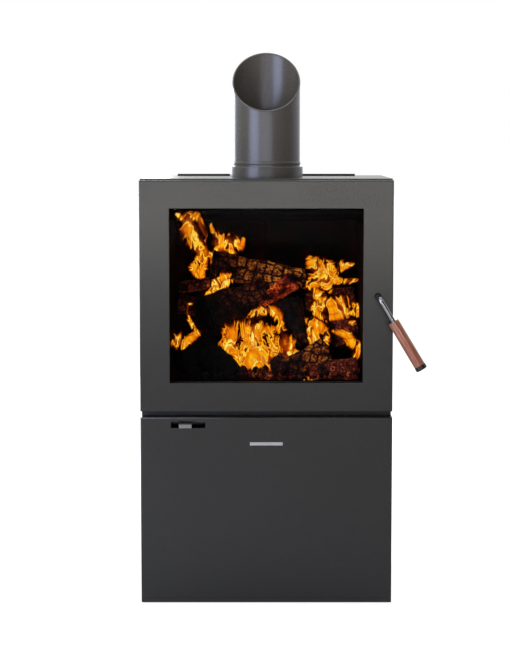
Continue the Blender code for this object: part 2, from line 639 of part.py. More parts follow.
def build_handle():
    """A bent rod that is spindle and arm in one, a turned wooden grip, an end cap and a latch cam."""
    axis = Vector((HANDLE_X, FRONT, HANDLE_Z))
    path = [Vector((HANDLE_X, DOOR_BACK, HANDLE_Z)), Vector((HANDLE_X, DOOR_BACK - 0.015, HANDLE_Z))]
    bend_steps = 8
    for k in range(bend_steps + 1):
        turn = math.radians(90) * k / bend_steps
        out = ROD_OUT - ROD_BEND_R * (1 - math.sin(turn))
        path.append(handle_point(ROD_BEND_R * (1 - math.cos(turn)), out))
    path += [handle_point(GRIP_START - 0.010), handle_point(GRIP_START + GRIP_LENGTH - 0.004)]
    curve = bpy.data.curves.new("handle_rod", "CURVE")
    curve.dimensions = "3D"
    curve.bevel_depth = ROD_R
    curve.bevel_resolution = 3
    curve.use_fill_caps = True
    spline = curve.splines.new("POLY")
    spline.points.add(len(path) - 1)
    for point, place in zip(spline.points, path):
        point.co = (*(place - axis), 1.0)
    curve.materials.append(material("polished_rod"))
    bent = bpy.data.objects.new("handle_rod", curve)
    bent.location = axis
    bpy.context.scene.collection.objects.link(bent)

    lie = (handle_point(1) - handle_point(0)).to_track_quat("Z", "Y").to_matrix().to_4x4()
    bore, bore_end = ROD_R + GAP, GRIP_LENGTH - 0.003
    end_r = GRIP_R + 0.0003
    grip = [
        (bore, 0), (GRIP_R - 0.0015, 0), (GRIP_R - 0.0003, 0.0015), (GRIP_R, 0.030),
        (end_r, GRIP_LENGTH), (0.0, GRIP_LENGTH), (0.0, bore_end), (bore, bore_end),
    ]
    cap = [(0.0, 0), (end_r, 0), (end_r, CAP_LENGTH - 0.0015), (GRIP_R - 0.0012, CAP_LENGTH), (0.0, CAP_LENGTH)]
    turned("handle_grip", "walnut", grip, Matrix.Translation(handle_point(GRIP_START)) @ lie, 32, axis)
    cap_start = handle_point(GRIP_START + GRIP_LENGTH + GAP)
    turned("handle_end_cap", "black_cap", cap, Matrix.Translation(cap_start) @ lie, 32, axis)

    hub_r, reach, half, raised = 0.0090, 0.0205, 0.005, math.radians(4)
    start = math.asin(half / hub_r)
    turns = [start + (math.tau - 2 * start) * k / 16 for k in range(17)]
    shape = [(hub_r * math.cos(a), hub_r * math.sin(a)) for a in turns] + [(reach, -half), (reach, half)]
    outline = [
        (
            HANDLE_X + x * math.cos(raised) - z * math.sin(raised),
            HANDLE_Z + x * math.sin(raised) + z * math.cos(raised),
        )
        for x, z in shape
    ]
    cam = extrusion("latch_cam", "stainless", outline, "Y", CAM_FRONT, CAM_FRONT + CAM_T, axis)
    start_y, end_y = CAM_FRONT - 0.01, CAM_FRONT + CAM_T + 0.01
    cut_round(cam, ROD_R + GAP, (HANDLE_X, start_y, HANDLE_Z), (HANDLE_X, end_y, HANDLE_Z), 24)


def build_keeper():
    """The catch on the firebox front. The cam's tongue comes down behind its lip."""
    x0, x1 = HANDLE_X + 0.0085, HANDLE_X + 0.0265
    lip_x, wall, base = x0 + 0.002, 0.003, FACE - 0.0033
    lip_back = CAM_FRONT - 0.0006
    lip_front = lip_back - 0.004
    outline = [
        (x0, FACE - GAP), (x1, FACE - GAP), (x1, lip_front), (lip_x, lip_front),
        (lip_x, lip_back), (x1 - wall, lip_back), (x1 - wall, base), (x0, base),
    ]
    top = HANDLE_Z - 0.005
    extrusion("latch_keeper", "stainless", outline, "Z", top - 0.044, top)


def main():
    clear_scene()
    build_pedestal()
    build_front_panel()
    build_air_control()
    build_casing()
    build_firebox()
    build_bricks()
    build_air_parts()
    build_flue()
    build_heat_shield()
    build_door()
    build_hinges()
    build_handle()
    build_keeper()


main()
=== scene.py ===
"""The looks of a free-standing wood burning stove: sprayed steel, enamelled flue, wood and fire."""

import json
import logging
import math
from collections.abc import Callable
from dataclasses import dataclass, field
from enum import Enum
from typing import Any

import bmesh
import bpy
from bmesh.types import BMEdge, BMesh
from bpy.types import Material, Node, NodeSocket, NodeTree, Object
from mathutils import Matrix, Vector, noise


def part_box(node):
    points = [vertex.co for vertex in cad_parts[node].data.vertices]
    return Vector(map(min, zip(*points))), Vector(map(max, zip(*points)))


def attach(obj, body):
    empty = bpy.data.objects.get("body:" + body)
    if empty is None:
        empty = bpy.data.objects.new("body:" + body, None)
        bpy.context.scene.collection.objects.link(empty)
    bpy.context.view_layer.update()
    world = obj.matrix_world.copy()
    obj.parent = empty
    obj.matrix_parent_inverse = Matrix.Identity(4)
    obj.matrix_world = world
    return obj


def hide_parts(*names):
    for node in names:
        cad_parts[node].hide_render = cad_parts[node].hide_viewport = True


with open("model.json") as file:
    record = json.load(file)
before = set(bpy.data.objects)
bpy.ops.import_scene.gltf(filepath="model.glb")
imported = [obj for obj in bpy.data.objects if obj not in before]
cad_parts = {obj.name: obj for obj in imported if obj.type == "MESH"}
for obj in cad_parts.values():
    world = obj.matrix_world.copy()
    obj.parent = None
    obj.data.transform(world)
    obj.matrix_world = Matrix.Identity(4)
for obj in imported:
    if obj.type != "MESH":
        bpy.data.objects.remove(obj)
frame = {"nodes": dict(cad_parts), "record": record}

LOG = logging.getLogger("stove")
MM = 0.001


class Body(Enum):
    """The moving bodies that a piece can ride on."""

    STOVE = "stove_body"
    DOOR = "door"
    HANDLE = "door_handle"
    SLIDE = "air_slide_body"
    PANEL = "pedestal_panel"


# ---------------------------------------------------------------- node and mesh helpers
def linear(hex_colour: str) -> tuple[float, float, float, float]:
    """Turns an sRGB hex colour to the linear colour that a shader takes.

    Args:
        hex_colour: Six hex digits after a hash sign.

    Returns:
        Linear red, green and blue, and an alpha of 1.
    """
    parts = [int(hex_colour[k : k + 2], 16) / 255 for k in (1, 3, 5)]
    red, green, blue = (c / 12.92 if c <= 0.04045 else ((c + 0.055) / 1.055) ** 2.4 for c in parts)
    return red, green, blue, 1.0


def add_node(tree: NodeTree, kind: str, inputs: dict | None = None, **settings: Any) -> Node:
    """Adds one node with its settings, values and links.

    Args:
        tree: The material's or world's node tree.
        kind: The node's type name, without the leading "ShaderNode".
        inputs: Socket name or number to a plain value, or to another node's output socket.
        **settings: Properties of the node itself.

    Returns:
        The new node.
    """
    node = tree.nodes.new(f"ShaderNode{kind}")
    for key, value in settings.items():
        setattr(node, key, value)
    for key, value in (inputs or {}).items():
        if isinstance(value, NodeSocket):
            tree.links.new(value, node.inputs[key])
        else:
            node.inputs[key].default_value = value
    return node


def ramp(tree: NodeTree, factor: NodeSocket, stops: dict[float, str]) -> NodeSocket:
    """Colours a value by a ramp of hex colours.

    Args:
        tree: The node tree.
        factor: The value that chooses the colour.
        stops: Position to hex colour, in rising order.

    Returns:
        The ramp's colour output.
    """
    node = add_node(tree, "ValToRGB", {"Fac": factor})
    elements = node.color_ramp.elements
    while len(elements) < len(stops):
        elements.new(0.5)
    for element, (place, colour) in zip(elements, stops.items()):
        element.position = place
        element.color = linear(colour)
    return node.outputs["Color"]


def per_mm(size_mm: float) -> float:
    """A texture's scale, per metre, for a pattern size in millimetres."""
    return 1 / (size_mm * MM)


def noise_at(
    tree: NodeTree, coords: NodeSocket, scale: float, detail: float, output: str = "Fac", **inputs: float,
) -> NodeSocket:
    """Reads a noise texture.

    Args:
        tree: The node tree.
        coords: Where it is read.
        scale: Its scale, per metre.
        detail: How many finer layers it has.
        output: "Fac" for one value, or "Color" for three.
        **inputs: Its other sockets' values.

    Returns:
        The texture's output.
    """
    values = {"Vector": coords, "Scale": scale, "Detail": detail, **inputs}
    return add_node(tree, "TexNoise", values).outputs[output]


def remap(
    tree: NodeTree, value: NodeSocket, source: tuple[float, float], target: tuple[float, float],
    curve: str = "LINEAR",
) -> NodeSocket:
    """Maps one range of values to another, and holds it at both ends.

    Args:
        tree: The node tree.
        value: The value to map.
        source: The range that it comes from.
        target: The range that it goes to.
        curve: How it runs between the ends.

    Returns:
        The mapped value.
    """
    ends = dict(zip(("From Min", "From Max", "To Min", "To Max"), (*source, *target)))
    return add_node(tree, "MapRange", {"Value": value, **ends}, interpolation_type=curve).outputs[0]


def calc(tree: NodeTree, operation: str, *values: float | NodeSocket, clamp: bool = False) -> NodeSocket:
    """One step of arithmetic on values, held between 0 and 1 where clamp is set."""
    return add_node(tree, "Math", dict(enumerate(values)), operation=operation, use_clamp=clamp).outputs[0]


def mapped(
    tree: NodeTree, coords: NodeSocket, scale: tuple[float, float, float] = (1.0, 1.0, 1.0),
    lean_deg: float = 0.0,
) -> NodeSocket:
    """Coordinates stretched, or leant about Y."""
    turn = (0, math.radians(lean_deg), 0)
    return add_node(tree, "Mapping", {"Vector": coords, "Scale": scale, "Rotation": turn}).outputs["Vector"]


def pushed(tree: NodeTree, coords: NodeSocket, push: NodeSocket, reach: float) -> NodeSocket:
    """Coordinates moved by a three-part value times a reach in metres."""
    values = {0: push, 1: (reach, reach, reach), 2: coords}
    return add_node(tree, "VectorMath", values, operation="MULTIPLY_ADD").outputs[0]


def roughen(
    tree: NodeTree, shader: Node, height: NodeSocket, strength: float, depth_mm: float,
) -> None:
    """Gives a shader a bump from a height pattern whose full depth is in millimetres."""
    bump = add_node(tree, "Bump", {"Height": height, "Strength": strength, "Distance": depth_mm * MM})
    tree.links.new(bump.outputs["Normal"], shader.inputs["Normal"])


def new_piece(
    name: str, bm: BMesh, material: Material, body: Body,
    smooth: float = 35.0,
) -> Object:
    """Stores a bmesh as a finished piece at the origin that rides on a body.

    Args:
        name: The piece's name.
        bm: Its shape, in the frame's metres. It is freed.
        material: Its finish.
        body: The body that it moves with.
        smooth: Edges sharper than this many degrees stay sharp.

    Returns:
        The new object.
    """
    mesh = bpy.data.meshes.new(name)
    bm.to_mesh(mesh)
    bm.free()
    mesh.shade_smooth()
    mesh.set_sharp_from_angle(angle=math.radians(smooth))
    mesh.materials.append(material)
    piece = bpy.data.objects.new(name, mesh)
    bpy.context.scene.collection.objects.link(piece)
    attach(piece, body.value)
    return piece


def spun(profile: list[tuple[float, float]], steps: int, place: Matrix) -> BMesh:
    """Turns a closed profile about Z and puts it in place.

    Args:
        profile: Pairs of radius and height.
        steps: Divisions round the turn.
        place: The matrix that stands the turned shape where it belongs.

    Returns:
        A closed bmesh with its faces outwards.
    """
    bm = bmesh.new()
    verts = [bm.verts.new((r, 0.0, h)) for r, h in profile]
    edges = [bm.edges.new((a, b)) for a, b in zip(verts, verts[1:] + verts[:1])]
    bmesh.ops.spin(
        bm, geom=verts + edges, cent=(0, 0, 0), axis=(0, 0, 1), angle=math.tau, steps=steps, use_merge=True,
    )
    bmesh.ops.remove_doubles(bm, verts=bm.verts[:], dist=1e-6)
    bmesh.ops.delete(bm, geom=[e for e in bm.edges if not e.link_faces], context="EDGES")
    bmesh.ops.recalc_face_normals(bm, faces=bm.faces)
    bm.transform(place)
    return bm


def absorb(whole: BMesh, part: BMesh) -> None:
    """Moves one bmesh, with its attributes, into another, and frees it."""
    carrier = bpy.data.meshes.new("carrier")
    part.to_mesh(carrier)
    part.free()
    whole.from_mesh(carrier)
    bpy.data.meshes.remove(carrier)


def rounded_bar(radius: float, low: float, high: float, edge: float) -> list[tuple[float, float]]:
    """A solid turned bar's profile whose two rims are rounded.

    Args:
        radius: The bar's radius.
        low: Its lower height.
        high: Its upper height.
        edge: The rims' rounding radius.

    Returns:
        Pairs of radius and height, from the axis round to the axis.
    """
    turns = [math.radians(15 * k) for k in range(7)]
    lower = [(radius - edge + edge * math.sin(a), low + edge - edge * math.cos(a)) for a in turns]
    upper = [(radius - edge + edge * math.cos(a), high - edge + edge * math.sin(a)) for a in turns]
    return [(0.0, low), *lower, *upper, (0.0, high)]


# ---------------------------------------------------------------- finishes
@dataclass(frozen=True)
class Finish:
    """A plain finish: what every other finish starts from."""

    name: str
    colour: str
    roughness: float
    metallic: float = 0.0

    def dress(self, tree: NodeTree, shader: Node, coords: NodeSocket) -> None:
        """Adds the finish's own pattern. The plain finish has none."""

    def material(self) -> Material:
        """Makes the finish's material, or finds the one already made.

        Returns:
            The material.
        """
        made = bpy.data.materials.get(self.name)
        if made:
            return made
        made = bpy.data.materials.new(self.name)
        made.use_nodes = True
        tree = made.node_tree
        shader = tree.nodes["Principled BSDF"]
        shader.inputs["Base Color"].default_value = linear(self.colour)
        shader.inputs["Roughness"].default_value = self.roughness
        shader.inputs["Metallic"].default_value = self.metallic
        self.dress(tree, shader, add_node(tree, "TexCoord").outputs["Object"])
        return made


@dataclass(frozen=True)
class SprayedPaint(Finish):
    """Heat-resistant paint sprayed on steel: a fine dry grain that softens every reflection."""

    grain_mm: float = 1.3
    grain_depth_mm: float = 0.05
    mottle_mm: float = 160.0
    mottle_share: float = 0.3
    sheen: str = "#ffffff"

    def dress(self, tree: NodeTree, shader: Node, coords: NodeSocket) -> None:
        """Adds the spray's grain, drawn about three times coarser than it is so that it shows."""
        shader.inputs["Specular Tint"].default_value = linear(self.sheen)
        grain = noise_at(tree, coords, per_mm(self.grain_mm), 2.0)
        mottle = noise_at(tree, coords, per_mm(self.mottle_mm), 1.0)
        both = calc(tree, "MULTIPLY_ADD", mottle, self.mottle_share, grain)
        rough = remap(tree, both, (0.35, 0.95), (self.roughness - 0.05, self.roughness + 0.05))
        tree.links.new(rough, shader.inputs["Roughness"])
        base = linear(self.colour)
        shade = add_node(
            tree, "Mix", {"Factor": both, 6: tuple(0.9 * c for c in base[:3]) + (1.0,), 7: base},
            data_type="RGBA", clamp_factor=True,
        ).outputs[2]
        tree.links.new(shade, shader.inputs["Base Color"])
        roughen(tree, shader, grain, 0.35, self.grain_depth_mm)


@dataclass(frozen=True)
class BrushedMetal(Finish):
    """Steel brushed one way: fine streaks along X that stretch its highlights."""

    streak_mm: float = 0.6

    def dress(self, tree: NodeTree, shader: Node, coords: NodeSocket) -> None:
        """Adds the brushing streaks to the roughness and the bump."""
        fine = per_mm(self.streak_mm)
        streak = noise_at(tree, mapped(tree, coords, (0.04 * fine, fine, fine)), 1.0, 3.0)
        rough = remap(tree, streak, (0.3, 0.7), (self.roughness - 0.08, self.roughness + 0.10))
        tree.links.new(rough, shader.inputs["Roughness"])
        roughen(tree, shader, streak, 0.15, 0.02)


@dataclass(frozen=True)
class OiledWood(Finish):
    """Turned walnut, oiled: long streaks along the grip and fine open pores."""

    dark: str = "#5e2e1e"
    light: str = "#a8664c"
    lean_deg: float = 59.0
    streak_mm: float = 2.2
    pore_mm: float = 0.4

    def dress(self, tree: NodeTree, shader: Node, coords: NodeSocket) -> None:
        """Runs the grain along the grip, which leans in the plane of the door."""
        turned = mapped(tree, coords, lean_deg=-self.lean_deg)
        fine = per_mm(self.streak_mm)
        streak = noise_at(tree, mapped(tree, turned, (0.06 * fine, fine, fine)), 1.0, 5.0, Distortion=0.6)
        colour = ramp(tree, streak, {0.30: self.dark, 0.50: self.colour, 0.72: self.light})
        tree.links.new(colour, shader.inputs["Base Color"])
        shader.inputs["Coat Weight"].default_value = 1.0
        shader.inputs["Coat Roughness"].default_value = 0.10
        fine = per_mm(self.pore_mm)
        pore = noise_at(tree, mapped(tree, turned, (0.2 * fine, fine, fine)), 1.0, 1.0)
        roughen(tree, shader, pore, 0.25, 0.05)


@dataclass(frozen=True)
class SootyBrick(Finish):
    """Pressed firebrick under soot: brown shows only where the soot has burnt off, with a faint painted
    firelight glow.
    """

    soot: str = "#030202"
    patch_mm: float = 45.0
    grain_mm: float = 2.5

    def dress(self, tree: NodeTree, shader: Node, coords: NodeSocket) -> None:
        """Lays soot over the brick in patches, roughens it with the pressed grain, and paints a faint red
        glow of firelight where brick shows.
        """
        patch = noise_at(tree, coords, per_mm(self.patch_mm), 6.0)
        colour = ramp(tree, patch, {0.48: self.soot, 0.72: "#0c0706", 0.92: self.colour})
        tree.links.new(colour, shader.inputs["Base Color"])
        grain = noise_at(tree, coords, per_mm(self.grain_mm), 3.0)
        roughen(tree, shader, grain, 0.6, 0.5)
        # Painted firelight: a faint dark red glow on the brick, where it shows through the soot and grain.
        warm = calc(tree, "MULTIPLY", patch, grain)
        tree.links.new(ramp(tree, warm, {0.26: "#000000", 0.44: "#3c0f08"}), shader.inputs["Emission Color"])
        shader.inputs["Emission Strength"].default_value = 0.2
        shader.inputs["Specular IOR Level"].default_value = 0.04


@dataclass(frozen=True)
class BraidedRope(Finish):
    """Glass-fibre rope: crossed strands that read as a fine diagonal braid."""

    strand_mm: float = 2.0

    def dress(self, tree: NodeTree, shader: Node, coords: NodeSocket) -> None:
        """Crosses two sets of diagonal strands."""
        strands = [
            add_node(
                tree, "TexWave",
                {"Vector": mapped(tree, coords, lean_deg=lean), "Scale": 0.314 * per_mm(self.strand_mm),
                 "Distortion": 0.8},
            ).outputs["Fac"]
            for lean in (45.0, -45.0)
        ]
        weave = calc(tree, "MULTIPLY", *strands)
        tree.links.new(ramp(tree, weave, {0.0: "#141414", 0.8: self.colour}), shader.inputs["Base Color"])
        roughen(tree, shader, weave, 0.8, 0.4)


@dataclass(frozen=True)
class CeramicGlass(Finish):
    """Clear heat-proof glass ceramic with a faint smoke film and only a weak reflection."""

    film: float = 0.10

    def dress(self, tree: NodeTree, shader: Node, coords: NodeSocket) -> None:
        """Lets most light through, with a little more smoke film in soft patches."""
        alpha = remap(tree, noise_at(tree, coords, 9.0, 3.0), (0.3, 0.7), (0.6 * self.film, 1.4 * self.film))
        tree.links.new(alpha, shader.inputs["Alpha"])
        shader.inputs["Specular IOR Level"].default_value = 0.04


@dataclass(frozen=True)
class CharredWood(Finish):
    """Burning log: charcoal split into blocks, with firelight painted on their faces in brown or gold."""

    block_mm: float = 15.0
    lean_deg: float = 9.0
    # Painted firelight on the block faces, from dim to bright.
    face: tuple[str, str, str] = ("#3a1407", "#78380f", "#bc7426")
    glow: str = "#ff4a08"
    glow_strength: float = 0.0

    def dress(self, tree: NodeTree, shader: Node, coords: NodeSocket) -> None:
        """Paints firelight on the blocks, scaled by the piece's own per-point attribute, and lets the cracks
        between them glow.
        """
        bend = noise_at(tree, coords, 45.0, 2.0, "Color")
        bent = pushed(tree, mapped(tree, coords, lean_deg=-self.lean_deg), bend, 0.006)
        edge = add_node(
            tree, "TexVoronoi", {"Vector": bent, "Scale": per_mm(self.block_mm), "Randomness": 0.45},
            feature="DISTANCE_TO_EDGE",
        ).outputs["Distance"]
        block = remap(tree, edge, (0.03, 0.16), (0.0, 1.0))
        mask = remap(tree, noise_at(tree, coords, 30.0, 4.0), (0.40, 0.60), (0.04, 1.1))
        grit = noise_at(tree, coords, 260.0, 5.0)
        speck = remap(tree, grit, (0.40, 0.60), (0.02, 1.6))
        # Painted firelight: the blocks' colour grows with the per-point attribute that stands for the fire
        # falling on them.
        painted_firelight_and_heat = add_node(tree, "Attribute", attribute_name="painted_firelight_and_heat").outputs["Fac"]
        painted_firelight_amount = calc(tree, "MULTIPLY", calc(tree, "MULTIPLY", block, mask), speck)
        painted_firelight_amount = calc(tree, "MULTIPLY", painted_firelight_amount, painted_firelight_and_heat, clamp=True)
        low, middle, high = self.face
        colour = ramp(tree, painted_firelight_amount, {0.0: "#000000", 0.12: low, 0.42: middle, 0.95: high})
        if self.glow_strength:
            crack = calc(tree, "MULTIPLY", calc(tree, "SUBTRACT", 1.0, block), mask)
            hot = calc(tree, "MULTIPLY", crack, painted_firelight_and_heat, clamp=True)
            glow = ramp(tree, hot, {0.15: "#000000", 0.50: "#7c1404", 1.0: self.glow})
            colour = add_node(
                tree, "Mix", {"Factor": self.glow_strength, 6: colour, 7: glow},
                data_type="RGBA", blend_type="ADD",
            ).outputs[2]
        # The painted firelight goes out as emission, with the cracks' glow where there is one.
        tree.links.new(colour, shader.inputs["Emission Color"])
        shader.inputs["Emission Strength"].default_value = 1.0
        shader.inputs["Specular IOR Level"].default_value = 0.15
        roughen(tree, shader, grit, 0.5, 0.6)


@dataclass(frozen=True)
class BurningGas(Finish):
    """Wood flame: thin folded sheets of glowing gas, brightest along their folds and clear between them."""

    fold_mm: float = 17.0
    bend_mm: float = 60.0
    rag_mm: float = 24.0
    strength: float = 1.15

    def dress(self, tree: NodeTree, shader: Node, coords: NodeSocket) -> None:
        """Colours the gas by its heat, which falls towards a sheet's edges and rises along its folds."""
        tall = mapped(tree, coords, (1.0, 0.6, 0.5))
        bent = pushed(tree, tall, noise_at(tree, tall, per_mm(self.bend_mm), 2.0, "Color"), 0.11)
        folds = noise_at(tree, bent, per_mm(self.fold_mm), 2.5, Roughness=0.45)
        off = calc(tree, "ABSOLUTE", calc(tree, "SUBTRACT", folds, 0.5))
        ridge = remap(tree, off, (0.0, 0.042), (0.72, 0.0), "SMOOTHSTEP")
        body = remap(tree, folds, (0.40, 0.72), (0.02, 0.42))
        whole = add_node(tree, "Attribute", attribute_name="core").outputs["Fac"]
        loss = remap(tree, noise_at(tree, bent, per_mm(self.rag_mm), 3.0), (0.36, 0.60), (-0.30, 0.06))
        core = calc(tree, "ADD", whole, loss, clamp=True)
        gas = calc(tree, "MULTIPLY", calc(tree, "ADD", ridge, body), core)
        heat = calc(tree, "MULTIPLY_ADD", calc(tree, "MULTIPLY", core, core), 0.15, gas)
        glow = {
            0.03: "#7a1802", 0.14: "#c24406", 0.28: "#f07c08", 0.44: "#ffaa0c", 0.62: "#ffd024",
            0.88: "#fff078",
        }
        tree.links.new(ramp(tree, heat, glow), shader.inputs["Emission Color"])
        tree.links.new(remap(tree, heat, (0.03, 0.40), (0.0, 1.0), "SMOOTHSTEP"), shader.inputs["Alpha"])
        shader.inputs["Emission Strength"].default_value = self.strength
        shader.inputs["Specular IOR Level"].default_value = 0.0


@dataclass(frozen=True)
class SootedSteel(Finish):
    """Plate inside the fire's own space: dull soot with a few paler, burnt-off patches."""

    def dress(self, tree: NodeTree, shader: Node, coords: NodeSocket) -> None:
        """Varies the soot in soft patches and keeps it free of shine."""
        patch = noise_at(tree, coords, 22.0, 6.0)
        tree.links.new(ramp(tree, patch, {0.40: "#020202", 0.75: self.colour}), shader.inputs["Base Color"])
        shader.inputs["Specular IOR Level"].default_value = 0.03
        roughen(tree, shader, patch, 0.3, 0.5)


# Satin stove paint: near black, with soft highlights that follow the room.
STOVE_PAINT = SprayedPaint("satin_stove_paint", "#181819", 0.25, sheen="#fffcf6")
# Matt black paint of the hidden steelwork: it reads as a shadow.
BLACK_STEEL = SprayedPaint("matt_black_stove_paint", "#111112", 0.60)
# Warm dark enamel of the flue: a light at its side runs down it as a soft, slightly blue stripe.
FLUE_ENAMEL = SprayedPaint("satin_flue_enamel", "#5b554c", 0.27, 0.15, grain_depth_mm=0.02, sheen="#c4d8ff")
# Brushed stainless steel of pins, screws and tubes: grey with a streaked highlight.
STAINLESS = BrushedMetal("brushed_stainless_steel", "#8c8a86", 0.34, 1.0)
# Zinc-plated sheet of the air slide: greyer and duller than stainless steel.
ZINC = BrushedMetal("zinc_plated_sheet", "#78746f", 0.52, 0.55)
# Blued steel of the spindle bush, kept near black as painted shade of the hole: a dark ring round the bar.
BLUED_STEEL_AND_PAINTED_SHADE = BrushedMetal("blued_steel_and_painted_shade", "#19191b", 0.50, 0.7)
# Black-chromed round bar: it mirrors the room, dark in the middle and bright along its edges.
BLACK_CHROME = BrushedMetal("black_chromed_bar", "#8c8c8e", 0.08, 1.0, streak_mm=0.4)
# Pressed firebrick under soot: almost black, with brown and a faint painted firelight glow showing through.
FIREBRICK = SootyBrick("sooted_firebrick", "#3a2418", 0.95)
# Vermiculite board under soot: duller and paler than brick, with the same faint painted firelight glow.
BAFFLE = SootyBrick("sooted_vermiculite_board", "#2c241c", 0.97)
# Dull soot on steel inside the fire's space.
SOOT = SootedSteel("sooted_steel", "#070505", 0.97)
# Glass ceramic: clear, so the fire shows through it, with a glossy face.
GLASS = CeramicGlass("clear_glass_ceramic", "#050403", 0.05)
# Braided fibre rope: dark and fuzzy.
ROPE = BraidedRope("black_glass_fibre_rope", "#3a3a3a", 0.95)
# Oiled walnut: warm brown with a soft sheen and long streaks.
WALNUT = OiledWood("oiled_walnut", "#96533a", 0.28)
# Moulded black cap: satin, with a soft spot of light.
CAP = SprayedPaint("moulded_black_end_cap", "#161617", 0.36)
# Satin aluminium plate: one pale line on the dark panel.
BADGE = BrushedMetal("satin_aluminium_plate", "#a9a9aa", 0.38, 1.0)
# Charred wood with firelight painted on it: brown and gold blocks between black cracks.
LOG_PAINTED_FIRELIGHT = CharredWood("charred_log_painted_firelight", "#060404", 0.95, 0.0, 21.0)
# Charred wood with dimmer painted firelight, as painted shade: deep red-brown.
LOG_PAINTED_SHADE = CharredWood(
    "charred_log_painted_shade", "#050404", 0.95, 0.0, 17.0, -25.0, ("#2a0c06", "#5c2712", "#9a5a2c"),
)
# Charcoal in painted shade: its logs carry no painted firelight, so it stays black.
LOG_BLACK = CharredWood("charcoal_in_painted_shade", "#030303", 0.95, 0.0, 20.0, 9.0, ("#1c0804", "#2c120a", "#3a1c10"))
# Smouldering wood: dark red painted firelight on its blocks, its cracks faintly alight.
LOG_RED = CharredWood(
    "smouldering_log", "#070404", 0.95, 0.0, 12.0, 20.0, ("#30100a", "#642414", "#b06432"), "#ff5a10", 0.35,
)
# Glowing wood: orange-red cracks over its whole face, with painted firelight on its blocks.
LOG_HOT = CharredWood(
    "glowing_log", "#080404", 0.95, 0.0, 16.0, 45.0, ("#2c0804", "#6a1a0a", "#b44820"), "#ff7a1c", 1.0,
)
# Flame: pale yellow folds in orange gas.
FLAME = BurningGas("wood_flame", "#000000", 1.0)

SLOT_FINISHES: dict[str, Finish] = {
    "stove_paint": STOVE_PAINT,
    "dark_steel": BLACK_STEEL,
    "flue_enamel": FLUE_ENAMEL,
    "stainless": STAINLESS,
    "polished_rod": BLACK_CHROME,
    "firebrick": FIREBRICK,
    "baffle_board": BAFFLE,
    "ceramic_glass": GLASS,
    "fibre_rope": ROPE,
    "walnut": WALNUT,
    "black_cap": CAP,
    "satin_badge": BADGE,
}


# Nodes whose place gives them another look than the rest of their slot.
NODE_FINISHES: dict[str, Finish] = {
    "air_tube_front": SOOT,
    "air_tube_rear": SOOT,
    "airwash_plate": SOOT,
    "ember_guard": SOOT,
    "firebox_shell": SOOT,
    "spindle_bush": BLUED_STEEL_AND_PAINTED_SHADE,
}


def dress_frame() -> None:
    """Gives every carried-over node its finish."""
    for part in frame["record"]["subparts"]:
        node = frame["nodes"][part["node"]]
        finish = NODE_FINISHES.get(part["node"], SLOT_FINISHES[part["material_slot"]])
        node.data.materials.clear()
        node.data.materials.append(finish.material())


# ---------------------------------------------------------------- sheet metal
@dataclass
class SheetMetal:
    """A folded or cut plate of the frame, remade with its edges rounded as a press leaves them."""

    node: str
    body: Body
    finish: Finish
    slot: str
    fold: float = 2.5 * MM
    burr: float = 0.5 * MM

    def build(self) -> Object:
        """Remakes the plate from a merged copy of the node's mesh.

        Returns:
            The piece, which stands for the node.
        """
        bm = bmesh.new()
        bm.from_mesh(frame["nodes"][self.node].data)
        bmesh.ops.remove_doubles(bm, verts=bm.verts[:], dist=1e-5)
        bmesh.ops.dissolve_limit(bm, angle_limit=math.radians(1), verts=bm.verts[:], edges=bm.edges[:])
        low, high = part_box(self.node)
        self.round_edges(bm, self.fold, lambda edge: self.on_front_rim(edge, low, high))
        self.round_edges(bm, self.burr, lambda edge: True)
        piece = new_piece(f"{self.node}_sheet", bm, self.finish.material(), self.body)
        keep_flat = piece.modifiers.new("keep_flat", "WEIGHTED_NORMAL")
        keep_flat.keep_sharp = True
        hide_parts(self.node)
        return piece

    @staticmethod
    def on_front_rim(edge: BMEdge, low: Vector, high: Vector) -> bool:
        """Whether an edge runs round the outside of the plate's front face."""
        near = 1e-5
        if any(abs(v.co.y - low.y) > near for v in edge.verts):
            return False
        return any(
            all(abs(v.co[axis] - limit[axis]) < near for v in edge.verts)
            for axis in (0, 2) for limit in (low, high)
        )

    @staticmethod
    def round_edges(bm: BMesh, radius: float, wanted: Callable[[BMEdge], bool]) -> None:
        """Rounds the wanted outer edges of a plate.

        Args:
            bm: The plate.
            radius: The rounding radius; nothing is done at zero.
            wanted: Says whether an edge is rounded.
        """
        if not radius:
            return
        sharp = math.radians(60)
        edges = [
            edge for edge in bm.edges
            if edge.is_manifold and edge.calc_face_angle_signed(0.0) > sharp and wanted(edge)
        ]
        bmesh.ops.bevel(
            bm, geom=edges, offset=radius, segments=3, profile=0.5, affect="EDGES", material=-1,
            clamp_overlap=True,
        )


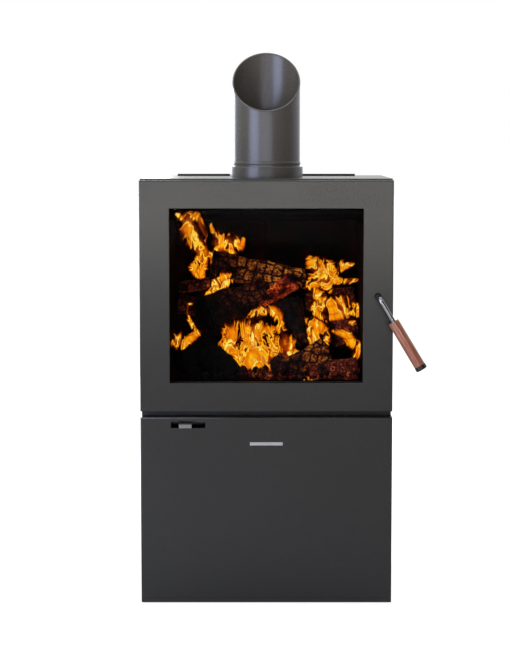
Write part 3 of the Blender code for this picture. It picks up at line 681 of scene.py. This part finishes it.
# ---------------------------------------------------------------- flue
@dataclass
class Flue:
    """The collar and the mitred pipe, with the rolled rim round the pipe's slanting mouth."""

    steps: int = 144
    wall: float = 2.0 * MM
    rim: float = 1.7 * MM
    bead: float = 4.0 * MM
    bead_out: float = 1.25 * MM
    bead_rise: float = 8.0 * MM
    edge: float = 1.2 * MM
    fit: float = 0.4 * MM
    shelf: float = 3.0 * MM
    spare: float = 30.0 * MM

    def build(self) -> list[Object]:
        """Builds the collar, the pipe and its rim."""
        low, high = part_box("flue_pipe")
        collar_low, collar_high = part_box("flue_spigot")
        centre = Vector(((low.x + high.x) / 2, (low.y + high.y) / 2, 0.0))
        radius = (high.x - low.x) / 2 - self.bead_out
        mouth_low = self.mouth_low()
        slope = math.atan2(high.z - mouth_low, 2 * radius)
        enamel = FLUE_ENAMEL.material()
        upright = Matrix.Translation(centre)
        pipe = new_piece(
            "flue_pipe_enamelled", self.pipe_mesh(radius, low.z, high.z, collar_high.z, slope, centre),
            enamel, Body.STOVE,
        )
        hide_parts("flue_pipe")
        collar_r = (collar_high.x - collar_low.x) / 2
        bore, foot = radius + self.fit, collar_low.z
        turns = [math.radians(18 * k) for k in range(6)]
        lip_r, lip_z = collar_r - self.edge, collar_high.z - self.edge
        lip = [(lip_r + self.edge * math.cos(a), lip_z + self.edge * math.sin(a)) for a in turns]
        seat = low.z - MM
        inner = bore - self.shelf
        profile = [(inner, foot), (collar_r, foot), *lip, (bore, collar_high.z), (bore, seat), (inner, seat)]
        collar = new_piece(
            "flue_collar_turned", spun(profile, self.steps, upright), enamel, Body.STOVE,
        )
        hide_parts("flue_spigot")
        middle = (mouth_low + high.z) / 2
        ring_r, turns = radius - self.wall / 2, [math.tau * k / 12 for k in range(12)]
        ring = [(ring_r + self.rim * math.cos(a), self.rim * math.sin(a)) for a in turns]
        bm = spun(ring, self.steps, Matrix())
        for vert in bm.verts:
            vert.co.z = 0.8 * vert.co.z + vert.co.y * math.tan(slope)
        bm.transform(Matrix.Translation((centre.x, centre.y, middle)))
        rim = new_piece("flue_rolled_rim", bm, enamel, Body.STOVE, smooth=80)
        return [pipe, collar, rim]

    @staticmethod
    def mouth_low() -> float:
        """The height of the pipe's mouth at its front, where the mitre is lowest."""
        verts = frame["nodes"]["flue_pipe"].data.vertices
        front = min(v.co.y for v in verts if v.co.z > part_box("flue_spigot")[1].z + 0.03)
        return max(v.co.z for v in verts if v.co.y < front + 0.5 * MM)

    def pipe_mesh(
        self, radius: float, foot: float, top: float, collar_top: float, slope: float, centre: Vector,
    ) -> BMesh:
        """Turns the pipe and cuts its mouth off at a slant.

        Args:
            radius: The pipe's outer radius.
            foot: The height that it stands at.
            top: The height of its mouth at the back.
            collar_top: The collar's upper edge, just over which the bead runs.
            slope: The mitre's slope.
            centre: The pipe's axis.

        Returns:
            The pipe's closed bmesh.
        """
        bead_z = collar_top + self.bead_rise
        turns = [math.radians(15 * k) for k in range(-6, 7)]
        bead = [(radius + self.bead_out * math.cos(a), bead_z + self.bead * math.sin(a)) for a in turns]
        inner, over = radius - self.wall, top + self.spare
        profile = [(inner, foot), (radius, foot), *bead, (radius, over), (inner, over)]
        bm = spun(profile, self.steps, Matrix.Translation(centre))
        bmesh.ops.bisect_plane(
            bm, geom=bm.verts[:] + bm.edges[:] + bm.faces[:], dist=1e-7,
            plane_co=(centre.x, centre.y + radius, top),
            plane_no=(0, -math.sin(slope), math.cos(slope)), clear_outer=True,
        )
        bmesh.ops.bridge_loops(bm, edges=[e for e in bm.edges if e.is_boundary])
        bmesh.ops.recalc_face_normals(bm, faces=bm.faces)
        return bm


# ---------------------------------------------------------------- handle
@dataclass
class Handle:
    """The bent bar, the turned grip on it and the end cap, all on the spindle's axis."""

    angle_deg: float = -59.0
    bar_r: float = 5.0 * MM
    out: float = 43.0 * MM
    bend_r: float = 14.0 * MM
    grip_start: float = 58.5 * MM
    grip_length: float = 107.0 * MM
    grip_r: float = 12.0 * MM
    cap_length: float = 9.0 * MM
    steps: int = 64
    pivot: Vector = field(default_factory=lambda: Vector(joint("handle_turn")["pos_m"]))

    def along(self, distance: float, out: float | None = None) -> Vector:
        """A point on the handle's sloping line, a distance from the spindle."""
        angle = math.radians(self.angle_deg)
        reach = self.out if out is None else out
        return self.pivot + Vector((distance * math.cos(angle), -reach, distance * math.sin(angle)))

    def build(self) -> list[Object]:
        """Builds the bar, the grip and the cap."""
        bar = self.bar()
        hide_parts("handle_rod")
        lie = (self.along(1) - self.along(0)).to_track_quat("Z", "Y").to_matrix().to_4x4()
        start, length, edge = self.grip_start, self.grip_length, 1.2 * MM
        profile = rounded_bar(self.grip_r, 0.0, length, edge)
        profile = [
            (r if r < self.grip_r - edge else r - 0.35 * MM * (1 - h / length), h) for r, h in profile
        ]
        grip = new_piece(
            "handle_grip_turned", spun(profile, self.steps, Matrix.Translation(self.along(start)) @ lie),
            WALNUT.material(), Body.HANDLE,
        )
        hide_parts("handle_grip")
        cap_at = Matrix.Translation(self.along(start + length + 0.3 * MM)) @ lie
        cap = new_piece(
            "handle_end_cap_moulded",
            spun(rounded_bar(self.grip_r + 0.3 * MM, 0.0, self.cap_length, 1.0 * MM), self.steps, cap_at),
            CAP.material(), Body.HANDLE,
        )
        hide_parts("handle_end_cap")
        return [bar, grip, cap]

    def bar(self) -> Object:
        """Sweeps a round section along the bar's path, from inside the door to inside the grip."""
        bends = 16
        inner_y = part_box("handle_rod")[1].y
        path = [Vector((self.pivot.x, inner_y, self.pivot.z))]
        for k in range(bends + 1):
            turn = math.radians(90) * k / bends
            path.append(
                self.along(self.bend_r * (1 - math.cos(turn)), self.out - self.bend_r * (1 - math.sin(turn)))
            )
        path.append(self.along(self.grip_start + 4 * MM))
        bm = bmesh.new()
        sides = 32
        loop = bmesh.ops.create_circle(bm, cap_ends=False, radius=self.bar_r, segments=sides)["verts"]
        heading = (path[1] - path[0]).normalized()
        lie = heading.to_track_quat("Z", "Y").to_matrix().to_4x4()
        bmesh.ops.transform(bm, matrix=Matrix.Translation(path[0]) @ lie, verts=loop)
        edges = [e for e in bm.edges]
        first = edges
        for k, here in enumerate(path[1:], 1):
            after = (path[k + 1] - here).normalized() if k + 1 < len(path) else heading
            tangent = (heading + after).normalized()
            made = bmesh.ops.extrude_edge_only(bm, edges=edges)["geom"]
            verts = [g for g in made if isinstance(g, bmesh.types.BMVert)]
            edges = [g for g in made if isinstance(g, BMEdge)]
            for vert in verts:
                gap = (here - vert.co).dot(tangent) / heading.dot(tangent)
                vert.co += heading * gap
            edges = [e for e in edges if all(v in verts for v in e.verts)]
            heading = after
        bmesh.ops.edgeloop_fill(bm, edges=first)
        bmesh.ops.edgeloop_fill(bm, edges=edges)
        bmesh.ops.recalc_face_normals(bm, faces=bm.faces)
        chrome = BLACK_CHROME.material()
        return new_piece("handle_bar_bent", bm, chrome, Body.HANDLE, smooth=50)


def joint(name: str) -> dict:
    """The record's own words on one joint."""
    return next(j for j in frame["record"]["behaviour"]["joints"] if j["name"] == name)


# ---------------------------------------------------------------- fasteners
@dataclass
class Screws:
    """Button-head screws that hold the two rear plates on, each with a socket, turned round here rather than
    hexagonal.
    """

    head_r: float = 4.5 * MM
    head_h: float = 2.4 * MM
    socket_r: float = 1.7 * MM
    inset: float = 9.0 * MM

    def build(self) -> list[Object]:
        """Builds the screws of the casing's and the pedestal's backs."""
        return [self.on_plate(node, rows) for node, rows in (("casing_back", 4), ("pedestal_back", 3))]

    def on_plate(self, node: str, rows: int) -> Object:
        """Builds one plate's screws, in a column up each side.

        Args:
            node: The plate.
            rows: How many screws stand in each column.

        Returns:
            The screws, as one piece.
        """
        low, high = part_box(node)
        whole = bmesh.new()
        for side in (-1, 1):
            for row in range(rows):
                span = high.z - low.z - 4 * self.inset
                z = low.z + 2 * self.inset + span * row / (rows - 1)
                place = Matrix.Translation((side * (high.x - self.inset), high.y, z))
                self.add_head(whole, place @ Matrix.Rotation(math.radians(-90), 4, "X"))
        return new_piece(f"{node}_screws", whole, STAINLESS.material(), Body.STOVE)

    def add_head(self, whole: BMesh, place: Matrix) -> None:
        """Adds one domed head with its socket to a bmesh.

        Args:
            whole: The bmesh that takes the head.
            place: Where it goes, with its axis along the matrix's Z.
        """
        turns = [math.radians(15 * k) for k in range(6)]
        dome = [(self.head_r * math.cos(a), 0.4 * MM + (self.head_h - 0.4 * MM) * math.sin(a)) for a in turns]
        foot, bed, rim = 0.1 * MM, 1.0 * MM, self.socket_r
        profile = [(0.0, foot), (self.head_r, foot), *dome, (rim, self.head_h), (rim, bed), (0.0, bed)]
        absorb(whole, spun(profile, 24, place))


# ---------------------------------------------------------------- fire
@dataclass(frozen=True)
class Log:
    """One burning log, in millimetres of the frame."""

    name: str
    start: tuple[int, int, int]
    end: tuple[int, int, int]
    radii: tuple[int, int]
    finish: Finish
    block: int
    # Painted firelight on the blocks, and the cracks' heat, at the start and at the end.
    painted_firelight_and_heat: tuple[float, float]


@dataclass
class Fire:
    """The logs, the bed of embers and the flames that stand in the firebox."""

    clearance: float = 1.0 * MM
    embers_in_bed: int = 210
    rings: int = 72
    sides: int = 56
    flow_rings: int = 44
    flow_sides: int = 28

    def build(self) -> list[Object]:
        """Builds all of the fire."""
        made = [self.log(log, number) for number, log in enumerate(LOGS)]
        made.append(self.embers("ember_bed_dark", 0, LOG_RED))
        made.append(self.embers("ember_bed_hot", 1, LOG_HOT))
        made.append(self.flames())
        return made

    @staticmethod
    def floor() -> float:
        """The height of the firebrick floor."""
        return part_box("floor_brick_left")[1].z

    def log(self, log: Log, seed: int) -> Object:
        """Builds one log with its charred surface broken into blocks.

        Args:
            log: The log's places, sizes and finish.
            seed: Moves the pattern, so that no two logs match.

        Returns:
            The log.
        """
        bm = bmesh.new()
        bmesh.ops.create_cone(
            bm, cap_ends=True, cap_tris=True, segments=self.sides, radius1=1.0, radius2=1.0, depth=1.0,
        )
        long_edges = [e for e in bm.edges if abs(e.verts[0].co.z - e.verts[1].co.z) > 0.5]
        bmesh.ops.subdivide_edges(bm, edges=long_edges, cuts=self.rings, use_grid_fill=True)
        caps = [f for f in bm.faces if abs(f.normal.z) > 0.9]
        spokes = list({e for f in caps for e in f.edges if min(v.co.xy.length for v in e.verts) < 0.1})
        bmesh.ops.subdivide_edges(bm, edges=spokes, cuts=5, use_grid_fill=True)
        radii = [radius * MM for radius in log.radii]
        start, end = (Vector(place) * MM for place in (log.start, log.end))
        for place, radius in ((start, radii[0]), (end, radii[1])):
            place.z = max(place.z, self.floor() + 1.12 * radius + self.clearance)
        axis = end - start
        lie = axis.to_track_quat("Z", "Y").to_matrix()
        # Painted firelight per point, with the cracks' heat.
        painted_firelight_and_heat = bm.verts.layers.float.new("painted_firelight_and_heat")
        shift = Vector((seed * 3.1, seed * 1.7, seed * 2.3))
        for vert in bm.verts:
            t = vert.co.z + 0.5
            on_end = abs(vert.co.z) > 0.499
            radius = radii[0] + (radii[1] - radii[0]) * t
            local = Vector((vert.co.x * radius, vert.co.y * radius, t * axis.length))
            cell = local / (log.block * MM) + shift
            near, second = noise.voronoi(cell + noise.noise_vector(cell * 0.7) * 0.35)[0][:2]
            depth = max(0.0, 1.0 - (second - near) / 0.25)
            lump = 1.0 + 0.16 * noise.noise(local * 22 + shift) + 0.05 * noise.noise(local * 70 + shift)
            lump -= 2.0 * MM * depth / radius
            rough_end = 5 * MM * noise.noise(local * 60 + shift) if on_end else 0.0
            # The cut ends carry less painted firelight, so they stay darker: painted shade.
            vert[painted_firelight_and_heat] = (log.painted_firelight_and_heat[0] + (log.painted_firelight_and_heat[1] - log.painted_firelight_and_heat[0]) * t) * (0.15 if on_end else 1.0)
            vert.co = start + lie @ Vector((local.x * lump, local.y * lump, local.z + rough_end))
        bmesh.ops.recalc_face_normals(bm, faces=bm.faces)
        return new_piece(log.name, bm, log.finish.material(), Body.STOVE, smooth=60)

    def embers(self, name: str, seed: int, finish: Finish) -> Object:
        """Scatters broken charcoal over the firebox floor, dead on the left and alight on the right.

        Args:
            name: The piece's name.
            seed: Moves the scatter.
            finish: How hot the charcoal is.

        Returns:
            The charcoal, as one piece.
        """
        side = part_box("side_brick_right_front")[0].x - 15 * MM
        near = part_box("floor_brick_left")[0].y + 15 * MM
        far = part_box("back_brick_right")[0].y - 15 * MM
        bm = bmesh.new()
        for k in range(self.embers_in_bed):
            roll = [
                math.modf(abs(math.sin((k + 1) * factor + seed * 5.3)) * 437.585453)[0]
                for factor in (12.9898, 78.233, 37.719, 9.151)
            ]
            radius = (4 + 7 * roll[2]) * MM
            place = Vector((
                side * (2 * roll[0] - 1), near + (far - near) * roll[1] ** 1.3,
                self.floor() + radius * (1.45 + 0.7 * roll[3]),
            ))
            at = Matrix.Translation(place)
            made = bmesh.ops.create_icosphere(bm, subdivisions=1, radius=radius, matrix=at)
            for vert in made["verts"]:
                vert.co = place + (vert.co - place) * (1 + 0.9 * noise.noise(vert.co * 190))
        # Painted firelight on the charcoal and heat in its cracks, none on the left and rising towards the
        # right.
        painted_firelight_and_heat = bm.verts.layers.float.new("painted_firelight_and_heat")
        for vert in bm.verts:
            warm = min(1.0, max(0.0, (vert.co.x + 60 * MM) / (50 * MM)))
            glow = 0.2 + 1.4 * noise.noise(vert.co * 30 + Vector((seed, 0, 0)))
            vert[painted_firelight_and_heat] = warm * min(0.7, max(0.0, glow))
        return new_piece(name, bm, finish.material(), Body.STOVE, smooth=12)

    def flames(self) -> Object:
        """Builds every sheet of flame as a thin, bending, closed shell."""
        whole = bmesh.new()
        whole.verts.layers.float.new("core")
        for depth, bends in FLOWS:
            bm = bmesh.new()
            bmesh.ops.create_cone(
                bm, cap_ends=True, cap_tris=False, segments=self.flow_sides,
                radius1=1.0, radius2=1.0, depth=1.0,
            )
            uprights = [e for e in bm.edges if abs(e.verts[0].co.z - e.verts[1].co.z) > 0.5]
            bmesh.ops.subdivide_edges(bm, edges=uprights, cuts=self.flow_rings, use_grid_fill=True)
            self.bend(bm, depth * MM, bends)
            absorb(whole, bm)
        bmesh.ops.recalc_face_normals(whole, faces=whole.faces)
        return new_piece("flames", whole, FLAME.material(), Body.STOVE, smooth=180)

    @staticmethod
    def bend(bm: BMesh, depth: float, bends: tuple[tuple[int, int, int], ...]) -> None:
        """Bends a unit cylinder into one thin sheet of flame.

        Args:
            bm: The cylinder. Its "core" attribute is set to how near the sheet's middle a point is.
            depth: How far back the sheet stands.
            bends: The bends of its middle line, as millimetres across, up and wide. A dim halo
                reaches half as far again on each side.
        """
        core = bm.verts.layers.float.new("core")
        ends = [Vector(place) * MM for place in bends]
        ends = [2 * ends[0] - ends[1], *ends, 2 * ends[-1] - ends[-2]]
        spans = len(bends) - 1
        for vert in bm.verts:
            t = min(max(vert.co.z + 0.5, 0.0), 1.0)
            span = min(int(t * spans), spans - 1)
            u = t * spans - span
            a, b, c, d = ends[span : span + 4]
            square, cube = 2 * a - 5 * b + 4 * c - d, 3 * b - a - 3 * c + d
            here = 0.5 * (2 * b + (c - a) * u + square * u**2 + cube * u**3)
            way = 0.5 * ((c - a) + 2 * square * u + 3 * cube * u**2)
            flat = Vector((way.x, way.y)).normalized()
            across = Vector((flat.y, 0.0, -flat.x))
            side, half = vert.co.x, max(here.z, MM) / 2
            ripple = 4 * MM * noise.noise(Vector((here.x, here.y, depth)) * 30)
            hot, halo = 1 - (1.3 * side) ** 2, 0.34 * (1 - side * side)
            vert[core] = max(hot, halo) * min(1.0, 6 * t, 6 * (1 - t))
            middle = Vector((here.x, depth + ripple, here.y))
            vert.co = middle + across * (side * 1.5 * half) + Vector((0, 1.5 * MM * vert.co.y, 0))


# Each log's name, ends, radii, finish, block size, and painted firelight with crack heat at start and end.
LOGS = (
    Log("log_upper", (-121, 20, 711), (84, 30, 679), (34, 20), LOG_PAINTED_FIRELIGHT, 21, (0.06, 1.15)),
    Log("log_large", (-138, -40, 599), (22, 45, 647), (47, 40), LOG_PAINTED_SHADE, 17, (0.0, 0.5)),
    Log("log_red_middle", (-32, -14, 616), (60, 16, 676), (12, 22), LOG_HOT, 16, (0.7, 1.0)),
    Log("log_small_left", (-196, 60, 656), (-125, 50, 668), (13, 14), LOG_RED, 12, (0.4, 0.7)),
    Log("log_front_left", (-158, -10, 529), (-58, -108, 482), (54, 11), LOG_BLACK, 22, (0.0, 0.0)),
    Log("log_front_low", (-204, 10, 505), (-150, -70, 512), (26, 40), LOG_BLACK, 22, (0.0, 0.0)),
    Log("log_broken_end", (48, -20, 628), (84, -60, 540), (31, 13), LOG_PAINTED_SHADE, 17, (0.03, 0.22)),
    Log("log_front_right", (42, -100, 473), (130, -70, 526), (21, 29), LOG_PAINTED_FIRELIGHT, 12, (0.25, 0.75)),
    Log("log_end_on", (28, -95, 500), (43, -20, 500), (22, 20), LOG_RED, 12, (0.8, 0.5)),
    Log("log_low_right", (92, -115, 487), (196, -104, 492), (17, 24), LOG_RED, 12, (0.45, 0.35)),
    Log("log_back_right", (88, 70, 625), (198, 76, 637), (20, 20), LOG_RED, 12, (0.4, 0.3)),
    Log("log_right", (148, 0, 558), (198, 15, 568), (28, 25), LOG_RED, 12, (0.35, 0.4)),
    Log("log_far_left", (-196, 70, 622), (-141, 60, 607), (22, 22), LOG_PAINTED_SHADE, 17, (0.15, 0.08)),
)

# How far back each sheet of flame stands, and the bends of its middle line: across, up and wide.
FLOWS = (
    (-100, ((-165, 839, 32), (-165, 817, 43), (-161, 791, 48), (-152, 768, 43), (-141, 750, 27),
     (-132, 737, 14))),
    (-102, ((-169, 802, 18), (-184, 821, 13), (-200, 833, 5))),
    (-104, ((-150, 839, 18), (-146, 814, 17), (-136, 791, 14), (-130, 776, 5))),
    (60, ((-135, 730, 14), (-153, 717, 24), (-164, 701, 20), (-157, 685, 17), (-139, 677, 8))),
    (57, ((-135, 729, 13), (-140, 709, 18), (-148, 693, 20), (-137, 672, 6))),
    (80, ((-129, 743, 24), (-107, 758, 48), (-82, 757, 48), (-62, 750, 34), (-47, 735, 10))),
    (78, ((-110, 763, 19), (-120, 782, 12), (-128, 808, 4))),
    (76, ((-60, 745, 22), (-53, 762, 14), (-55, 771, 4))),
    (3, ((-142, 635, 6), (-124, 650, 20), (-108, 662, 29), (-88, 672, 21), (-66, 682, 5))),
    (-62, ((-158, 631, 5), (-171, 628, 8), (-173, 610, 10), (-167, 591, 10), (-157, 575, 11),
     (-144, 560, 10))),
    (-112, ((-198, 574, 23), (-192, 556, 30), (-184, 551, 26), (-166, 559, 22), (-148, 571, 18),
     (-129, 580, 7))),
    (-110, ((-186, 532, 5), (-177, 546, 15), (-162, 557, 14))),
    (20, ((-150, 764, 20), (-141, 740, 32), (-137, 716, 30), (-144, 694, 16), (-152, 676, 8))),
    (58, ((-128, 742, 20), (-118, 734, 26), (-100, 742, 22), (-80, 738, 16), (-62, 732, 10))),
    (-20, ((-126, 668, 14), (-112, 676, 22), (-94, 686, 20), (-70, 694, 8))),
    (-58, ((-50, 596, 9), (-29, 608, 19), (-6, 614, 24), (18, 612, 25), (28, 594, 24), (34, 571, 27),
     (52, 548, 29), (86, 541, 14))),
    (-66, ((-57, 589, 17), (-73, 571, 39), (-82, 553, 44), (-76, 530, 49), (-57, 511, 48), (-38, 496, 39),
     (-27, 482, 12))),
    (-70, ((-12, 591, 23), (-27, 569, 57), (-23, 546, 61), (-12, 523, 57), (-6, 496, 39), (-9, 457, 18))),
    (-68, ((20, 590, 23), (15, 565, 52), (22, 543, 57), (11, 519, 39), (3, 496, 29), (-1, 464, 17))),
    (-74, ((30, 568, 23), (48, 543, 42), (56, 527, 42), (60, 507, 9))),
    (-76, ((16, 566, 20), (36, 545, 40), (55, 524, 46), (68, 508, 30), (84, 500, 10))),
    (-78, ((-66, 548, 16), (-48, 530, 40), (-30, 506, 46), (-20, 484, 30), (-12, 462, 10))),
    (-52, ((-19, 600, 78), (-23, 568, 138), (-19, 537, 143), (-19, 507, 97), (-15, 481, 32))),
    (56, ((91, 734, 9), (100, 717, 29), (113, 704, 49), (124, 689, 53), (111, 673, 40), (92, 665, 20),
     (75, 657, 5))),
    (54, ((118, 719, 19), (135, 705, 40), (143, 689, 40), (135, 669, 39), (142, 652, 20), (147, 639, 4))),
    (52, ((138, 685, 24), (162, 696, 20), (185, 709, 15), (202, 712, 4))),
    (50, ((138, 681, 20), (165, 673, 18), (189, 672, 13), (214, 678, 4))),
    (48, ((153, 692, 17), (168, 710, 15), (172, 726, 4))),
    (30, ((118, 650, 8), (122, 633, 20), (138, 624, 24), (161, 628, 24), (175, 617, 22), (172, 601, 20),
     (149, 592, 20), (122, 596, 20), (108, 610, 19), (115, 625, 14), (134, 629, 6))),
    (34, ((106, 636, 18), (132, 616, 52), (158, 606, 56), (178, 602, 36), (198, 612, 14))),
    (24, ((84, 664, 10), (104, 652, 28), (122, 640, 26), (134, 622, 10))),
    (-28, ((92, 600, 12), (96, 576, 36), (108, 552, 42), (122, 534, 20))),
    (28, ((169, 647, 19), (175, 629, 29), (177, 610, 24), (164, 589, 8))),
    (26, ((190, 631, 7), (204, 614, 24), (217, 601, 24), (195, 604, 19), (181, 604, 5))),
    (-30, ((103, 594, 14), (79, 586, 21), (75, 572, 23), (90, 555, 23), (109, 538, 24), (123, 525, 10))),
    (-32, ((77, 585, 11), (101, 588, 19), (123, 577, 24), (132, 558, 24), (128, 538, 24), (120, 525, 6))),
    (-34, ((101, 597, 6), (111, 577, 17), (107, 558, 17), (113, 540, 7))),
    (-45, ((139, 569, 5), (158, 566, 17), (177, 558, 23), (189, 543, 26), (204, 528, 29), (196, 513, 29),
     (191, 494, 7))),
    (-47, ((168, 580, 4), (180, 567, 15), (185, 549, 12))),
    (-43, ((179, 588, 6), (192, 586, 13), (201, 583, 4))),
    (-49, ((215, 548, 18), (208, 525, 29), (210, 502, 12))),
    (-112, ((75, 462, 5), (94, 470, 16), (114, 481, 4))),
)


# ---------------------------------------------------------------- studio
@dataclass(frozen=True)
class PaleFloor(Finish):
    """White studio floor: as bright to look at as the surround, and dimmer in what it throws on the stove."""

    seen_glow: float = 1.45
    thrown_glow: float = 0.20

    def dress(self, tree: NodeTree, shader: Node, coords: NodeSocket) -> None:
        """Lights the floor evenly."""
        shader.inputs["Emission Color"].default_value = linear(self.colour)
        shown = add_node(tree, "LightPath").outputs["Is Camera Ray"]
        glow = remap(tree, shown, (0.0, 1.0), (self.thrown_glow, self.seen_glow))
        tree.links.new(glow, shader.inputs["Emission Strength"])


# Each light's name, width and height in metres, power in watts, place, aim and colour.
LIGHTS = (
    ("front_card", (3.0, 0.50), 27.0, (0.0, -4.35, 0.80), (0, 0, 0.80), "#ffffff"),
    ("side_strip", (1.3, 2.4), 56.0, (-1.44, -1.61, 1.25), (0, 0.05, 1.05), "#dde6ff"),
    ("high_front", (1.6, 0.5), 11.0, (0.45, -2.2, 2.6), (0, -0.2, 0.7), "#ffffff"),
    ("overhead", (3.5, 3.0), 34.0, (0.0, 0.3, 3.2), (0, 0.2, 0.0), "#ffffff"),
    ("rear_left_card", (2.4, 1.5), 60.0, (-1.5, 3.2, 0.95), (0, 0, 0.9), "#ffffff"),
)


@dataclass
class Studio:
    """A pale floor, a white surround, soft lights and the camera."""

    lens_mm: float = 101.4
    tilt_deg: float = 84.32
    shift: float = -0.0174
    floor_half: float = 30.0
    eye: Vector = field(default_factory=lambda: Vector((0.0, -4.064, 0.982)))

    def build(self) -> None:
        """Builds the studio."""
        self.floor()
        self.surround()
        for light in LIGHTS:
            self.light(*light)
        self.camera()
        bpy.context.scene.view_settings.view_transform = "Standard"

    def floor(self) -> None:
        """Lays the floor, which is no part of the stove."""
        bm = bmesh.new()
        bmesh.ops.create_grid(bm, x_segments=1, y_segments=1, size=self.floor_half)
        mesh = bpy.data.meshes.new("studio_floor")
        bm.to_mesh(mesh)
        bm.free()
        mesh.materials.append(PaleFloor("pale_floor", "#c4c4c4", 0.95).material())
        plane = bpy.data.objects.new("studio_floor", mesh)
        plane.location.z = -0.0005
        bpy.context.scene.collection.objects.link(plane)

    @staticmethod
    def surround() -> None:
        """Makes the surround: plain white to look at, bright behind the stove and dim before it."""
        world = bpy.data.worlds.new("studio_surround")
        bpy.context.scene.world = world
        world.use_nodes = True
        tree = world.node_tree
        way = add_node(tree, "TexCoord").outputs["Generated"]
        depth = add_node(tree, "SeparateXYZ", {"Vector": way}).outputs["Y"]
        share = remap(tree, depth, (-1.0, 1.0), (0.0, 1.0))
        shade = ramp(tree, share, {0.0: "#303030", 0.45: "#707070", 0.72: "#ffffff"})
        shown = add_node(tree, "LightPath").outputs["Is Camera Ray"]
        colour = add_node(
            tree, "Mix", {"Factor": shown, 6: shade, 7: (1.0, 1.0, 1.0, 1.0)}, data_type="RGBA",
        ).outputs[2]
        tree.links.new(colour, tree.nodes["Background"].inputs["Color"])

    @staticmethod
    def light(
        name: str, size: tuple[float, float], power: float, place: tuple[float, float, float],
        aim: tuple[float, float, float], tint: str,
    ) -> None:
        """Hangs one soft rectangular light.

        Args:
            name: Its name.
            size: Its width and height in metres.
            power: Its power in watts.
            place: Where it hangs.
            aim: The point that it faces.
            tint: Its colour.
        """
        data = bpy.data.lights.new(name, "AREA")
        data.shape = "RECTANGLE"
        data.size, data.size_y = size
        data.energy = power
        data.color = linear(tint)[:3]
        lamp = bpy.data.objects.new(name, data)
        lamp.location = place
        lamp.visible_camera = False
        lamp.rotation_euler = (Vector(aim) - Vector(place)).to_track_quat("-Z", "Y").to_euler()
        bpy.context.scene.collection.objects.link(lamp)

    def camera(self) -> None:
        """Stands the camera in front of the stove, looking slightly down."""
        data = bpy.data.cameras.new("camera")
        data.lens = self.lens_mm
        data.shift_x = self.shift
        camera = bpy.data.objects.new("camera", data)
        camera.location = self.eye
        camera.rotation_euler = (math.radians(self.tilt_deg), 0, 0)
        bpy.context.scene.collection.objects.link(camera)
        bpy.context.scene.camera = camera


PLAIN_PLATES = (
    "pedestal_top_plate", "casing_left_side", "casing_right_side", "pedestal_left_side",
    "pedestal_right_side", "casing_back", "pedestal_back",
)
SHEETS = (
    SheetMetal("door_front", Body.DOOR, STOVE_PAINT, "stove_paint"),
    SheetMetal("pedestal_front_panel", Body.PANEL, STOVE_PAINT, "stove_paint", fold=3.0 * MM),
    SheetMetal("casing_top", Body.STOVE, STOVE_PAINT, "stove_paint", fold=0.0, burr=0.8 * MM),
    *(SheetMetal(plate, Body.STOVE, STOVE_PAINT, "stove_paint", fold=0.0) for plate in PLAIN_PLATES),
    SheetMetal("rear_heat_shield", Body.STOVE, BLACK_STEEL, "dark_steel", fold=0.0),
    SheetMetal("air_slide", Body.SLIDE, ZINC, "stainless", fold=0.6 * MM),
    SheetMetal("nameplate", Body.PANEL, BADGE, "satin_badge", fold=0.3 * MM, burr=0.0),
    SheetMetal("latch_keeper", Body.STOVE, STAINLESS, "stainless", fold=0.0),
)


def main() -> None:
    """Dresses the frame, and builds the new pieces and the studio."""
    logging.basicConfig(level=logging.INFO, format="%(message)s")
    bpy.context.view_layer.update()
    dress_frame()
    made = [sheet.build() for sheet in SHEETS]
    for assembly in (Flue(), Handle(), Screws(), Fire()):
        made += assembly.build()
    Studio().build()


if __name__ == "__main__":
    main()
